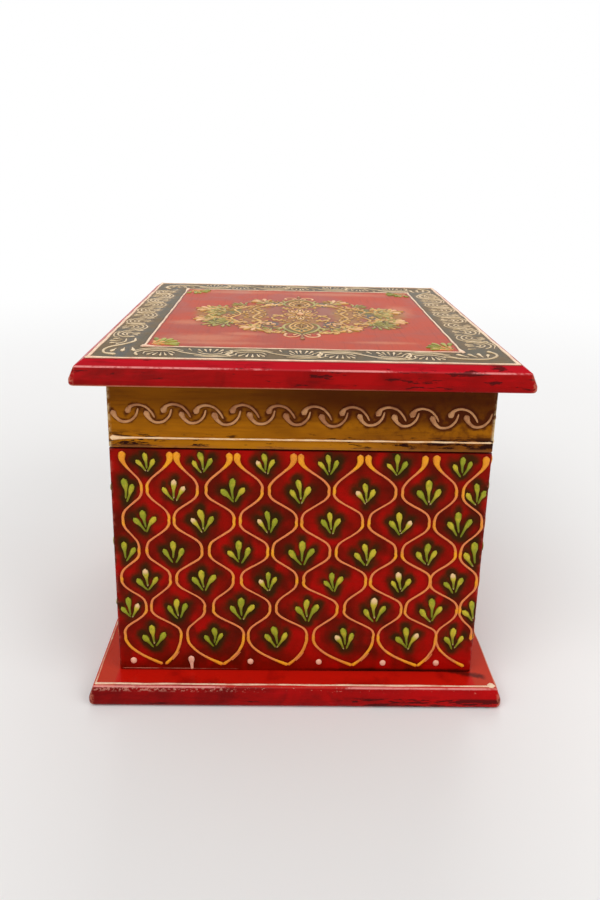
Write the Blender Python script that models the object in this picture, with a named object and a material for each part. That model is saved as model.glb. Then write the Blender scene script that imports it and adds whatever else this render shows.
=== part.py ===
# Painted wooden box with a hinged lid.
# Metres, +Z up. The origin is the middle of the base slab's underside, and the front faces -Y.

import math

import bmesh
import bpy
from mathutils import Matrix, Vector

MM = 0.001

# Walls of the body, measured over their outer faces
BODY_WIDTH = 133.6 * MM
BODY_DEPTH = 133.6 * MM
WALL_HEIGHT = 90.2 * MM
WALL_THICKNESS = 8.0 * MM
CORNER_LAP = 3.0 * MM
WALL_ARRIS = 0.8 * MM

# Base slab
BASE_THICKNESS = 8.0 * MM
BASE_OVERHANG = 10.0 * MM
BASE_SIDE_HEIGHT = 3.0 * MM
BASE_SIDE_LEAN = 1.8 * MM
BASE_TOP_ROUND = 0.6 * MM
BASE_MIDDLE_ROUND = 1.5 * MM
BASE_LOWER_ROUND = 1.6 * MM
BASE_CORNER_RADIUS = 2.0 * MM

# Lid: a frame of four boards under a moulded top slab
SEAM_GAP = 0.8 * MM
LID_FRAME_HEIGHT = 24.7 * MM
LID_THICKNESS = 8.2 * MM
LID_OVERHANG = 10.0 * MM
LID_SIDE_HEIGHT = 2.2 * MM
LID_SIDE_LEAN = 1.8 * MM
LID_BEVEL_RUN = 2.6 * MM
LID_BEVEL_DROP = 1.8 * MM
LID_NOSE_ROUND = 0.7 * MM
LID_MIDDLE_ROUND = 1.5 * MM
LID_LOWER_ROUND = 0.9 * MM
LID_CORNER_RADIUS = 2.0 * MM
LEAST_CORNER_RADIUS = 0.3 * MM

# Cloth covered linings
LINING_THICKNESS = 1.2 * MM
FLOOR_LINING_THICKNESS = 2.0 * MM
LID_LINING_THICKNESS = 1.6 * MM
LINING_SETBACK = 1.5 * MM
LINING_ROUND = 0.4 * MM

# Brass butt hinges; the setback runs from a side face to the middle of a hinge
HINGE_LENGTH = 25.0 * MM
HINGE_SETBACK = 28.8 * MM
LEAF_WIDTH = 6.4 * MM
LEAF_THICKNESS = 0.8 * MM
KNUCKLE_COUNT = 5
HINGE_PIN_RADIUS = 0.8 * MM
HINGE_PIN_HEAD_RADIUS = 1.3 * MM
HINGE_PIN_HEAD_LENGTH = 0.5 * MM
HINGE_PIN_CLEARANCE = 0.15 * MM
KNUCKLE_RADIUS = HINGE_PIN_RADIUS + HINGE_PIN_CLEARANCE + LEAF_THICKNESS

# Screws of the hinge leaves
LEAF_SCREW_SPACING = 14.0 * MM
LEAF_SCREW_HEAD_RADIUS = 1.6 * MM
LEAF_SCREW_SHANK_RADIUS = 0.7 * MM
LEAF_SCREW_LENGTH = 6.0 * MM

# Points of all screws, as multiples of the shank's radius
SCREW_POINT_LENGTH = 2.2
SCREW_TIP_RADIUS = 0.2

# Wood screws through the base slab, and panel pins through the corner laps
BASE_SCREW_SETBACK = 24.8 * MM
BASE_SCREW_HEAD_RADIUS = 2.8 * MM
BASE_SCREW_SHANK_RADIUS = 1.4 * MM
BASE_SCREW_LENGTH = 19.0 * MM
BASE_SCREW_SINK = 0.4 * MM
PANEL_PIN_RADIUS = 0.6 * MM
PANEL_PIN_LENGTH = 15.0 * MM
PANEL_PIN_SINK = 0.8 * MM
WALL_PIN_ROW_COUNT = 2
FRAME_PIN_ROW_COUNT = 1
FASTENER_CLEARANCE = 0.2 * MM

# Clearance kept between pieces that rest on or against each other
FIT = 0.3 * MM

# Facets
ROUND_STEPS = 4
CORNER_STEPS = 4
LINING_ROUND_STEPS = 2
LINING_ROUND_PROFILE = 0.5
BARREL_SIDES = 20
SCREW_SIDES = 14
PIN_SIDES = 8
SHARP_DEGREES = 35
MERGE_DISTANCE = 0.001 * MM

# Heights of the stacked pieces, from the table up
WALL_BOTTOM = BASE_THICKNESS + FIT
WALL_TOP = WALL_BOTTOM + WALL_HEIGHT
FRAME_BOTTOM = WALL_TOP + SEAM_GAP
FRAME_TOP = FRAME_BOTTOM + LID_FRAME_HEIGHT
LID_BOTTOM = FRAME_TOP + FIT
INNER_WIDTH = BODY_WIDTH - 2 * WALL_THICKNESS
INNER_DEPTH = BODY_DEPTH - 2 * WALL_THICKNESS

# The hinge axis runs behind the back wall, level with the middle of the seam
HINGE_Y = BODY_DEPTH / 2 + KNUCKLE_RADIUS + FIT
HINGE_Z = WALL_TOP + SEAM_GAP / 2
HINGES = {"left": HINGE_SETBACK - BODY_WIDTH / 2, "right": BODY_WIDTH / 2 - HINGE_SETBACK}

# Colour, roughness and metallic value of each finish
FINISHES = {
    "red_paint": ((0.45, 0.012, 0.012), 0.35, 0.0),
    "edge_paint": ((0.52, 0.010, 0.025), 0.30, 0.0),
    "gold_paint": ((0.33, 0.15, 0.010), 0.40, 0.0),
    "velvet": ((0.16, 0.008, 0.014), 0.95, 0.0),
    "brass": ((0.68, 0.45, 0.17), 0.35, 1.0),
    "steel": ((0.46, 0.45, 0.44), 0.40, 1.0),
}


def clear_scene():
    for old in list(bpy.data.objects):
        bpy.data.objects.remove(old, do_unlink=True)


def finish(name):
    """The shared material of one finish, made at its first use."""
    material = bpy.data.materials.get(name)
    if material is None:
        colour, roughness, metallic = FINISHES[name]
        material = bpy.data.materials.new(name)
        material.use_nodes = True
        shader = material.node_tree.nodes["Principled BSDF"]
        shader.inputs["Base Color"].default_value = (*colour, 1.0)
        shader.inputs["Roughness"].default_value = roughness
        shader.inputs["Metallic"].default_value = metallic
        material.diffuse_color = (*colour, 1.0)
    return material


def add_piece(name, mesh_builder, finish_name):
    """Turn a finished bmesh into a named object with its own material."""
    mesh = bpy.data.meshes.new(name)
    bmesh.ops.recalc_face_normals(mesh_builder, faces=mesh_builder.faces)
    mesh_builder.to_mesh(mesh)
    mesh_builder.free()
    material = finish(finish_name).copy()
    material.name = name + "_" + finish_name
    mesh.materials.append(material)
    mesh.shade_smooth()
    mesh.set_sharp_from_angle(angle=math.radians(SHARP_DEGREES))
    piece = bpy.data.objects.new(name, mesh)
    bpy.context.collection.objects.link(piece)
    return piece


def apply_modifiers(piece):
    evaluated = piece.evaluated_get(bpy.context.evaluated_depsgraph_get())
    mesh = bpy.data.meshes.new_from_object(evaluated)
    piece.modifiers.clear()
    old = piece.data
    piece.data = mesh
    bpy.data.meshes.remove(old)


def cut(piece, tools):
    """Cut the tools out of a piece and delete them."""
    for tool in tools:
        boolean = piece.modifiers.new("cut", "BOOLEAN")
        boolean.operation = "DIFFERENCE"
        boolean.solver = "EXACT"
        boolean.object = tool
    apply_modifiers(piece)
    for tool in tools:
        bpy.data.objects.remove(tool, do_unlink=True)


def tool_object(builder):
    """A cutter, kept out of renders."""
    mesh = bpy.data.meshes.new("tool")
    bmesh.ops.recalc_face_normals(builder, faces=builder.faces)
    builder.to_mesh(mesh)
    builder.free()
    tool = bpy.data.objects.new("tool", mesh)
    tool.hide_render = True
    tool.display_type = "WIRE"
    bpy.context.collection.objects.link(tool)
    return tool


def block(low, high):
    """A rectangular block between two corners."""
    builder = bmesh.new()
    size = Vector(high) - Vector(low)
    middle = (Vector(high) + Vector(low)) / 2
    stretch = Matrix.Diagonal((*size, 1.0))
    bmesh.ops.create_cube(builder, size=1.0, matrix=Matrix.Translation(middle) @ stretch)
    return builder


def prism(outline, bottom, top):
    """An outline of (x, y) points, extruded straight up."""
    builder = bmesh.new()
    ring = [builder.verts.new((x, y, bottom)) for x, y in outline]
    face = builder.faces.new(ring)
    raised = bmesh.ops.extrude_face_region(builder, geom=[face])
    moved = [item for item in raised["geom"] if isinstance(item, bmesh.types.BMVert)]
    bmesh.ops.translate(builder, verts=moved, vec=(0, 0, top - bottom))
    return builder


def turned(profile, sides):
    """A solid turned about Z from (radius, height) points that start and end on the axis."""
    builder = bmesh.new()
    points = [builder.verts.new((radius, 0, height)) for radius, height in profile]
    edges = [builder.edges.new(pair) for pair in zip(points, points[1:])]
    bmesh.ops.spin(
        builder, geom=points + edges, axis=(0, 0, 1), cent=(0, 0, 0), angle=math.tau, steps=sides)
    bmesh.ops.remove_doubles(builder, verts=builder.verts, dist=MERGE_DISTANCE)
    return builder


def placed(builder, where, turn=None):
    """Turn a shape about the origin and then move it."""
    matrix = Matrix.Translation(where)
    if turn is not None:
        matrix = matrix @ turn
    bmesh.ops.transform(builder, matrix=matrix, verts=builder.verts)
    return builder


def quarter(centre, radius, start_degrees, steps):
    """Points of a quarter circle, counter-clockwise from the start angle."""
    points = []
    for step in range(steps + 1):
        angle = math.radians(start_degrees + 90 * step / steps)
        points.append((centre[0] + radius * math.cos(angle), centre[1] + radius * math.sin(angle)))
    return points


def rounded_ring(width, depth, radius):
    """Points of a rectangle with round corners, counter-clockwise."""
    points = []
    for index, (side_x, side_y) in enumerate(((1, 1), (-1, 1), (-1, -1), (1, -1))):
        centre = (side_x * (width / 2 - radius), side_y * (depth / 2 - radius))
        points += quarter(centre, radius, 90 * index, CORNER_STEPS)
    return points


def moulded_slab(width, depth, corner_radius, profile):
    """A slab whose edge follows a profile of (inset, height) points, from underneath to the top."""
    builder = bmesh.new()
    rings = []
    for inset, height in profile:
        radius = max(corner_radius - inset, LEAST_CORNER_RADIUS)
        outline = rounded_ring(width - 2 * inset, depth - 2 * inset, radius)
        rings.append([builder.verts.new((x, y, height)) for x, y in outline])
    count = len(rings[0])
    for lower, upper in zip(rings, rings[1:]):
        for index in range(count):
            after = (index + 1) % count
            builder.faces.new((lower[index], lower[after], upper[after], upper[index]))
    builder.faces.new(reversed(rings[0]))
    builder.faces.new(rings[-1])
    return builder


def eased_profile(corners):
    """Profile through (inset, height, rounding) corners; the two end ones only give directions."""
    points = []
    for before, corner, after in zip(corners, corners[1:], corners[2:]):
        here = Vector(corner[:2])
        rounding = corner[2]
        if rounding == 0:
            points.append(tuple(here))
            continue
        back = (Vector(before[:2]) - here).normalized()
        ahead = (Vector(after[:2]) - here).normalized()
        half = back.angle(ahead) / 2
        centre = here + (back + ahead).normalized() * rounding / math.sin(half)
        spoke = here + back * rounding / math.tan(half) - centre
        side = math.copysign(1, back.x * ahead.y - back.y * ahead.x)
        for step in range(ROUND_STEPS + 1):
            angle = -side * (math.pi - 2 * half) * step / ROUND_STEPS
            across = spoke.x * math.cos(angle) - spoke.y * math.sin(angle)
            up = spoke.x * math.sin(angle) + spoke.y * math.cos(angle)
            points.append((centre.x + across, centre.y + up))
    return points


def base_profile():
    """Low upright side, then a face that leans in to the flat top."""
    top = BASE_THICKNESS
    return eased_profile([
        (BASE_OVERHANG, 0, 0), (0, 0, BASE_LOWER_ROUND), (0, BASE_SIDE_HEIGHT, BASE_MIDDLE_ROUND),
        (BASE_SIDE_LEAN, top, BASE_TOP_ROUND), (BASE_OVERHANG, top, 0),
    ])


def lid_profile():
    """Low upright side, a leaning face up to a rounded nose, and a shallow slope to the flat top."""
    top = LID_BOTTOM + LID_THICKNESS
    flat = LID_SIDE_LEAN + LID_BEVEL_RUN
    return eased_profile([
        (LID_OVERHANG, LID_BOTTOM, 0), (0, LID_BOTTOM, LID_LOWER_ROUND),
        (0, LID_BOTTOM + LID_SIDE_HEIGHT, LID_MIDDLE_ROUND),
        (LID_SIDE_LEAN, top - LID_BEVEL_DROP, LID_NOSE_ROUND), (flat, top, 0), (LID_OVERHANG, top, 0),
    ])


def screw(head_radius, shank_radius, length):
    """A countersunk screw that points down, its flat head level with the origin."""
    head_depth = head_radius - shank_radius
    point_start = SCREW_POINT_LENGTH * shank_radius - length
    tip_radius = SCREW_TIP_RADIUS * shank_radius
    profile = [
        (0, 0), (head_radius, 0), (shank_radius, -head_depth), (shank_radius, point_start),
        (tip_radius, -length), (0, -length),
    ]
    return turned(profile, SCREW_SIDES)


def screw_hole(head_radius, shank_radius, length, sink):
    """The hole for a screw: its countersink, its shank and the room left at its tip."""
    shank = shank_radius + FASTENER_CLEARANCE
    head = head_radius + FASTENER_CLEARANCE
    mouth = sink + FIT
    depth = head - shank
    end = -length - FIT
    profile = [(0, mouth), (head, mouth), (head, 0), (shank, -depth), (shank, end), (0, end)]
    return turned(profile, SCREW_SIDES)


UPSIDE_DOWN = Matrix.Rotation(math.pi, 4, "X")


def base_screw_places():
    """Two screws into the lower edge of the front wall and two into the back wall."""
    middle = (BODY_DEPTH - WALL_THICKNESS) / 2
    across = BODY_WIDTH / 2 - BASE_SCREW_SETBACK
    return [(x, y, BASE_SCREW_SINK) for y in (-middle, middle) for x in (-across, across)]


def base_screw_holes():
    holes = []
    for place in base_screw_places():
        hole = screw_hole(
            BASE_SCREW_HEAD_RADIUS, BASE_SCREW_SHANK_RADIUS, BASE_SCREW_LENGTH, BASE_SCREW_SINK)
        holes.append(tool_object(placed(hole, place, UPSIDE_DOWN)))
    return holes


def build_base():
    width = BODY_WIDTH + 2 * BASE_OVERHANG
    depth = BODY_DEPTH + 2 * BASE_OVERHANG
    slab = moulded_slab(width, depth, BASE_CORNER_RADIUS, base_profile())
    base = add_piece("base_plate", slab, "edge_paint")
    cut(base, base_screw_holes())
    for number, place in enumerate(base_screw_places(), 1):
        builder = screw(BASE_SCREW_HEAD_RADIUS, BASE_SCREW_SHANK_RADIUS, BASE_SCREW_LENGTH)
        add_piece(f"base_screw_{number}", placed(builder, place, UPSIDE_DOWN), "steel")


def corner_pin_places(bottom, top, rows):
    """Panel pins enter the front and back faces and run into the ends of the side boards."""
    middle = (BODY_WIDTH - WALL_THICKNESS) / 2
    spacing = (top - bottom) / rows
    heights = [bottom + (row + 0.5) * spacing for row in range(rows)]
    return [(x, side, height) for height in heights for side in (-1, 1) for x in (-middle, middle)]


def panel_pins(places, radius, start_depth, end_depth):
    """Round bars along Y at the pin places, between two depths under the outer face."""
    turn = Matrix.Rotation(math.pi / 2, 4, "X")
    half = (end_depth - start_depth) / 2
    profile = [(0, -half), (radius, -half), (radius, half), (0, half)]
    bars = []
    for x, side, height in places:
        middle = side * (BODY_DEPTH / 2 - (start_depth + end_depth) / 2)
        bars.append(placed(turned(profile, PIN_SIDES), (x, middle, height), turn))
    return bars


def long_board_outline(side):
    """Plan of a front or back board with rebated ends and eased outer corners."""
    half = BODY_WIDTH / 2
    outer = BODY_DEPTH / 2
    lap = outer - CORNER_LAP
    inner = outer - WALL_THICKNESS
    shoulder = half - WALL_THICKNESS - FIT
    right_arris = quarter((half - WALL_ARRIS, outer - WALL_ARRIS), WALL_ARRIS, 0, ROUND_STEPS)
    left_arris = quarter((WALL_ARRIS - half, outer - WALL_ARRIS), WALL_ARRIS, 90, ROUND_STEPS)
    points = right_arris + left_arris
    points += [(-half, lap), (-shoulder, lap), (-shoulder, inner)]
    points += [(shoulder, inner), (shoulder, lap), (half, lap)]
    return [(x, side * y) for x, y in points]


def build_boards(names, bottom, top, pin_rows, pin_name, finish_name):
    """Four boards joined at rebated corners, with their panel pins."""
    front_name, back_name, left_name, right_name = names
    front = add_piece(front_name, prism(long_board_outline(-1), bottom, top), finish_name)
    back = add_piece(back_name, prism(long_board_outline(1), bottom, top), finish_name)
    half_length = BODY_DEPTH / 2 - CORNER_LAP - FIT
    sides = []
    for name, side in ((left_name, -1), (right_name, 1)):
        outer = side * BODY_WIDTH / 2
        inner = side * INNER_WIDTH / 2
        low = (min(outer, inner), -half_length, bottom)
        high = (max(outer, inner), half_length, top)
        sides.append(add_piece(name, block(low, high), finish_name))
    places = corner_pin_places(bottom, top, pin_rows)
    pin_end = PANEL_PIN_SINK + PANEL_PIN_LENGTH
    hole_radius = PANEL_PIN_RADIUS + FASTENER_CLEARANCE
    for board, chosen in (
            (front, [place for place in places if place[1] < 0]),
            (back, [place for place in places if place[1] > 0]),
            (sides[0], [place for place in places if place[0] < 0]),
            (sides[1], [place for place in places if place[0] > 0])):
        holes = panel_pins(chosen, hole_radius, -PANEL_PIN_SINK, pin_end + FIT)
        cut(board, [tool_object(hole) for hole in holes])
    pins = []
    for number, bar in enumerate(panel_pins(places, PANEL_PIN_RADIUS, PANEL_PIN_SINK, pin_end), 1):
        pins.append(add_piece(f"{pin_name}_{number}", bar, "steel"))
    return [front, back, *sides, *pins]


def lining(name, low, high):
    """A cloth covered card with softened edges."""
    builder = block(low, high)
    bmesh.ops.bevel(
        builder, geom=list(builder.edges), offset=LINING_ROUND, segments=LINING_ROUND_STEPS,
        profile=LINING_ROUND_PROFILE, affect="EDGES", clamp_overlap=True)
    return add_piece(name, builder, "velvet")


def lining_walls(names, bottom, top):
    """Four linings: front and back across the full inner width, sides between them."""
    half_x = INNER_WIDTH / 2 - FIT
    half_y = INNER_DEPTH / 2 - FIT
    front_name, back_name, left_name, right_name = names
    pieces = []
    for name, side in ((front_name, -1), (back_name, 1)):
        edges = sorted((side * half_y, side * (half_y - LINING_THICKNESS)))
        pieces.append(lining(name, (-half_x, edges[0], bottom), (half_x, edges[1], top)))
    side_half = half_y - LINING_THICKNESS - FIT
    for name, side in ((left_name, -1), (right_name, 1)):
        edges = sorted((side * half_x, side * (half_x - LINING_THICKNESS)))
        pieces.append(lining(name, (edges[0], -side_half, bottom), (edges[1], side_half, top)))
    return pieces


def build_body_linings():
    half_x = INNER_WIDTH / 2 - FIT
    half_y = INNER_DEPTH / 2 - FIT
    floor = BASE_THICKNESS + FIT
    pad_top = floor + FLOOR_LINING_THICKNESS
    pad = lining("floor_lining", (-half_x, -half_y, floor), (half_x, half_y, pad_top))
    names = ("front_wall_lining", "back_wall_lining", "left_wall_lining", "right_wall_lining")
    return [pad] + lining_walls(names, pad_top + FIT, WALL_TOP - LINING_SETBACK)


def build_lid_linings():
    half_x = INNER_WIDTH / 2 - FIT
    half_y = INNER_DEPTH / 2 - FIT
    ceiling = LID_BOTTOM - FIT
    underside = ceiling - LID_LINING_THICKNESS
    panel = lining("lid_lining", (-half_x, -half_y, underside), (half_x, half_y, ceiling))
    names = ("lid_front_lining", "lid_back_lining", "lid_left_lining", "lid_right_lining")
    return [panel] + lining_walls(names, FRAME_BOTTOM + LINING_SETBACK, underside - FIT)


def barrel(start, end, radius):
    """A round bar along X on the hinge axis."""
    length = end - start
    profile = [(0, -length / 2), (radius, -length / 2), (radius, length / 2), (0, length / 2)]
    turn = Matrix.Rotation(math.pi / 2, 4, "Y")
    return placed(turned(profile, BARREL_SIDES), ((start + end) / 2, HINGE_Y, HINGE_Z), turn)


def knuckle_spans(centre):
    """Start and end of each knuckle along the hinge, with a clearance between neighbours."""
    length = (HINGE_LENGTH - (KNUCKLE_COUNT - 1) * FIT) / KNUCKLE_COUNT
    starts = [centre - HINGE_LENGTH / 2 + number * (length + FIT) for number in range(KNUCKLE_COUNT)]
    return [(start, start + length) for start in starts]


def leaf_screw_places(centre, face):
    middle = BODY_DEPTH / 2 - LEAF_WIDTH / 2
    return [(centre + side * LEAF_SCREW_SPACING / 2, middle, face) for side in (-1, 1)]


def leaf_screw_turn(above):
    return UPSIDE_DOWN if above else Matrix.Identity(4)


def leaf_screw_holes(centre, face, above):
    holes = []
    for place in leaf_screw_places(centre, face):
        hole = screw_hole(LEAF_SCREW_HEAD_RADIUS, LEAF_SCREW_SHANK_RADIUS, LEAF_SCREW_LENGTH, 0)
        holes.append(tool_object(placed(hole, place, leaf_screw_turn(above))))
    return holes


def leaf_section(above):
    """Side view of a leaf as (y, z) points: a flat plate that rolls into the round barrel."""
    near = SEAM_GAP / 2
    far = near + LEAF_THICKNESS
    first = math.pi + math.asin(near / KNUCKLE_RADIUS)
    last = math.asin(far / KNUCKLE_RADIUS) - math.pi
    inner_edge = BODY_DEPTH / 2 - LEAF_WIDTH - HINGE_Y
    points = [(inner_edge, -far), (inner_edge, -near)]
    for step in range(BARREL_SIDES + 1):
        angle = first + (last - first) * step / BARREL_SIDES
        points.append((KNUCKLE_RADIUS * math.cos(angle), KNUCKLE_RADIUS * math.sin(angle)))
    side = -1 if above else 1
    return [(HINGE_Y + y, HINGE_Z + side * z) for y, z in points]


def build_leaf(name, centre, above):
    """One leaf: the section along the whole hinge, notched where the other leaf's knuckles turn."""
    half = HINGE_LENGTH / 2
    builder = bmesh.new()
    ring = [builder.verts.new((centre - half, y, z)) for y, z in leaf_section(above)]
    raised = bmesh.ops.extrude_face_region(builder, geom=[builder.faces.new(ring)])
    moved = [item for item in raised["geom"] if isinstance(item, bmesh.types.BMVert)]
    bmesh.ops.translate(builder, verts=moved, vec=(HINGE_LENGTH, 0, 0))
    leaf = add_piece(name, builder, "brass")

    reach = 2 * KNUCKLE_RADIUS
    tools = []
    for start, end in knuckle_spans(centre)[0 if above else 1::2]:
        low = (start - FIT, BODY_DEPTH / 2, HINGE_Z - reach)
        high = (end + FIT, HINGE_Y + reach, HINGE_Z + reach)
        tools.append(tool_object(block(low, high)))
    bore_radius = HINGE_PIN_RADIUS + HINGE_PIN_CLEARANCE
    tools.append(tool_object(barrel(centre - HINGE_LENGTH, centre + HINGE_LENGTH, bore_radius)))
    face = FRAME_BOTTOM if above else WALL_TOP
    tools += leaf_screw_holes(centre, face, above)
    cut(leaf, tools)
    return leaf


def build_hinge_pin(name, centre):
    """A pin with a small head at each end of the barrel."""
    half = HINGE_LENGTH / 2 + FIT
    head_end = half + HINGE_PIN_HEAD_LENGTH
    profile = [
        (0, -head_end), (HINGE_PIN_HEAD_RADIUS, -head_end), (HINGE_PIN_HEAD_RADIUS, -half),
        (HINGE_PIN_RADIUS, -half), (HINGE_PIN_RADIUS, half), (HINGE_PIN_HEAD_RADIUS, half),
        (HINGE_PIN_HEAD_RADIUS, head_end), (0, head_end),
    ]
    turn = Matrix.Rotation(math.pi / 2, 4, "Y")
    pin = placed(turned(profile, BARREL_SIDES), (centre, HINGE_Y, HINGE_Z), turn)
    return add_piece(name, pin, "steel")


def hinge_recess(centre, above):
    """Room in a board's edge for one leaf and its screws."""
    face = FRAME_BOTTOM if above else WALL_TOP
    up = 1 if above else -1
    half = HINGE_LENGTH / 2 + FIT
    levels = sorted((face - up * FIT, face + up * (LEAF_THICKNESS + FIT)))
    low = (centre - half, BODY_DEPTH / 2 - LEAF_WIDTH - FIT, levels[0])
    high = (centre + half, BODY_DEPTH / 2 + WALL_THICKNESS, levels[1])
    return [tool_object(block(low, high))] + leaf_screw_holes(centre, face, above)


def leaf_screws(name, above):
    face = FRAME_BOTTOM if above else WALL_TOP
    screws = []
    for side, centre in HINGES.items():
        for number, place in enumerate(leaf_screw_places(centre, face), 1):
            builder = screw(LEAF_SCREW_HEAD_RADIUS, LEAF_SCREW_SHANK_RADIUS, LEAF_SCREW_LENGTH)
            placed(builder, place, leaf_screw_turn(above))
            screws.append(add_piece(f"{side}_{name}_{number}", builder, "brass"))
    return screws


def build_body():
    build_base()
    names = ("front_wall", "back_wall", "left_wall", "right_wall")
    boards = build_boards(names, WALL_BOTTOM, WALL_TOP, WALL_PIN_ROW_COUNT, "wall_pin", "red_paint")
    for board in boards[:4]:
        cut(board, base_screw_holes())
    for side, centre in HINGES.items():
        cut(boards[1], hinge_recess(centre, False))
        build_leaf(side + "_hinge_body_leaf", centre, False)
        build_hinge_pin(side + "_hinge_pin", centre)
    leaf_screws("body_leaf_screw", False)
    build_body_linings()


def build_lid():
    width = BODY_WIDTH + 2 * LID_OVERHANG
    depth = BODY_DEPTH + 2 * LID_OVERHANG
    slab = moulded_slab(width, depth, LID_CORNER_RADIUS, lid_profile())
    pieces = [add_piece("lid_panel", slab, "edge_paint")]
    names = ("lid_frame_front", "lid_frame_back", "lid_frame_left", "lid_frame_right")
    boards = build_boards(names, FRAME_BOTTOM, FRAME_TOP, FRAME_PIN_ROW_COUNT, "lid_frame_pin", "gold_paint")
    for side, centre in HINGES.items():
        cut(boards[1], hinge_recess(centre, True))
        pieces.append(build_leaf(side + "_hinge_lid_leaf", centre, True))
    pieces += boards + leaf_screws("lid_leaf_screw", True) + build_lid_linings()
    return pieces


def hang_on_pivot(pieces):
    """The lid's pieces turn with an empty that lies on the hinge axis."""
    pivot = bpy.data.objects.new("lid_pivot", None)
    pivot.location = (0, HINGE_Y, HINGE_Z)
    bpy.context.collection.objects.link(pivot)
    for piece in pieces:
        piece.parent = pivot
        piece.matrix_parent_inverse = Matrix.Translation(-pivot.location)


clear_scene()
build_body()
hang_on_pivot(build_lid())
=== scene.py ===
# Looks of the painted wooden box: paint grounds, raised line work, cloth linings and metal.
# Lists of places are in millimetres on the face they belong to; meshes are in metres.

import math
import random

import bmesh
import bpy
import numpy as np
from mathutils import Matrix, Vector
from mathutils.kdtree import KDTree
from mathutils.noise import noise as noiseAt


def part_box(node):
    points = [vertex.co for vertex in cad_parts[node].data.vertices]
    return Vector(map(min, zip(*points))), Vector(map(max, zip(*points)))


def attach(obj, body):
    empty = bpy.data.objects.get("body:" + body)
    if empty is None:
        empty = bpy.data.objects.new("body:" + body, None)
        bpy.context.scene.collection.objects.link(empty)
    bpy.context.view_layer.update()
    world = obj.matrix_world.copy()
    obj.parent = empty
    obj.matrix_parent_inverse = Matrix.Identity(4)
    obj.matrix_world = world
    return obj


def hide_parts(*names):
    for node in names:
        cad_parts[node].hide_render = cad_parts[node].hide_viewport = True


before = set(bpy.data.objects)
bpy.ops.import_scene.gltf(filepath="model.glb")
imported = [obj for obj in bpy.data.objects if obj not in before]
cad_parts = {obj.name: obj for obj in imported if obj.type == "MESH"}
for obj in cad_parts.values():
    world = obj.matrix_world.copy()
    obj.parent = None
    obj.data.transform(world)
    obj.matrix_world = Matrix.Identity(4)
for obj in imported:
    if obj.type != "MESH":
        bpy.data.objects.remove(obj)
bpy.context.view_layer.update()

mm = 0.001
print("frame loaded")


# Sizes read from the frame, in millimetres

def boxMm(node):
    low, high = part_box(node)
    return low / mm, high / mm


frontLow, frontHigh = boxMm("front_wall")
bandLow, bandHigh = boxMm("lid_frame_front")
lidLow, lidHigh = boxMm("lid_panel")
halfWidth, halfDepth = frontHigh.x, boxMm("back_wall")[1].y
wallBottom, wallTop = frontLow.z, frontHigh.z
bandBottom, bandTop = bandLow.z, bandHigh.z
lidTop = lidHigh.z
baseTop = boxMm("base_plate")[1].z
hinges = [boxMm(side + "_hinge_body_leaf") for side in ("left", "right")]


# Node graphs: a wire wraps a socket, and sums on wires add their Math nodes

class Wire:
    def __init__(self, graph, socket):
        self.graph = graph
        self.socket = socket

    def __add__(self, other):
        return self.graph.math("ADD", self, other)

    def __sub__(self, other):
        return self.graph.math("SUBTRACT", self, other)

    def __mul__(self, other):
        return self.graph.math("MULTIPLY", self, other)

    def __truediv__(self, other):
        return self.graph.math("DIVIDE", self, other)

    def __rsub__(self, other):
        return self.graph.math("SUBTRACT", other, self)

    __radd__ = __add__
    __rmul__ = __mul__


class Graph:
    def __init__(self, tree):
        self.tree = tree

    def find(self, sockets, key):
        if isinstance(key, int):
            return sockets[key]
        for socket in sockets:
            if key in (socket.identifier, socket.name):
                return socket
        raise KeyError(key)

    def add(self, kind, settings=None, inputs=None, out=0):
        node = self.tree.nodes.new(kind)
        for key, value in (settings or {}).items():
            setattr(node, key, value)
        for key, value in (inputs or {}).items():
            socket = self.find(node.inputs, key)
            if isinstance(value, Wire):
                self.tree.links.new(value.socket, socket)
            else:
                socket.default_value = value
        return Wire(self, self.find(node.outputs, out))

    def outputs(self, kind, inputs=None):      # every output of a new node, by name
        node = self.add(kind, None, inputs).socket.node
        return {socket.name: Wire(self, socket) for socket in node.outputs}

    def split(self, vector):      # x, y and z
        return self.outputs("ShaderNodeSeparateXYZ", {0: vector}).values()

    def math(self, operation, first, second=0.0):
        return self.add("ShaderNodeMath", {"operation": operation}, {0: first, 1: second})

    def absolute(self, value):
        return self.math("ABSOLUTE", value)

    def ramp(self, value, low, high, start=0.0, end=1.0):      # smooth step from start to end
        return self.add("ShaderNodeMapRange", {"interpolation_type": "SMOOTHSTEP"},
                        {"Value": value, "From Min": low, "From Max": high, "To Min": start, "To Max": end})

    def mix(self, factor, first, second):
        return self.add("ShaderNodeMix", {"data_type": "RGBA"},
                        {"Factor_Float": factor, "A_Color": first, "B_Color": second}, "Result_Color")

    def attribute(self, name):
        return self.add("ShaderNodeAttribute", {"attribute_name": name}, None, "Fac")

    def store(self, geometry, name, value):      # a number kept on every point
        return self.add("GeometryNodeStoreNamedAttribute", {"data_type": "FLOAT", "domain": "POINT"},
                        {"Geometry": geometry, "Name": name, "Value": value})

    def link(self, wire, socket):
        self.tree.links.new(wire.socket, socket)


def seen(red, green, blue):      # a colour as it looks on a screen, 0 to 255, made linear
    parts = [part / 255 for part in (red, green, blue)]
    return tuple(p / 12.92 if p <= 0.04045 else ((p + 0.055) / 1.055) ** 2.4 for p in parts) + (1.0,)


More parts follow.
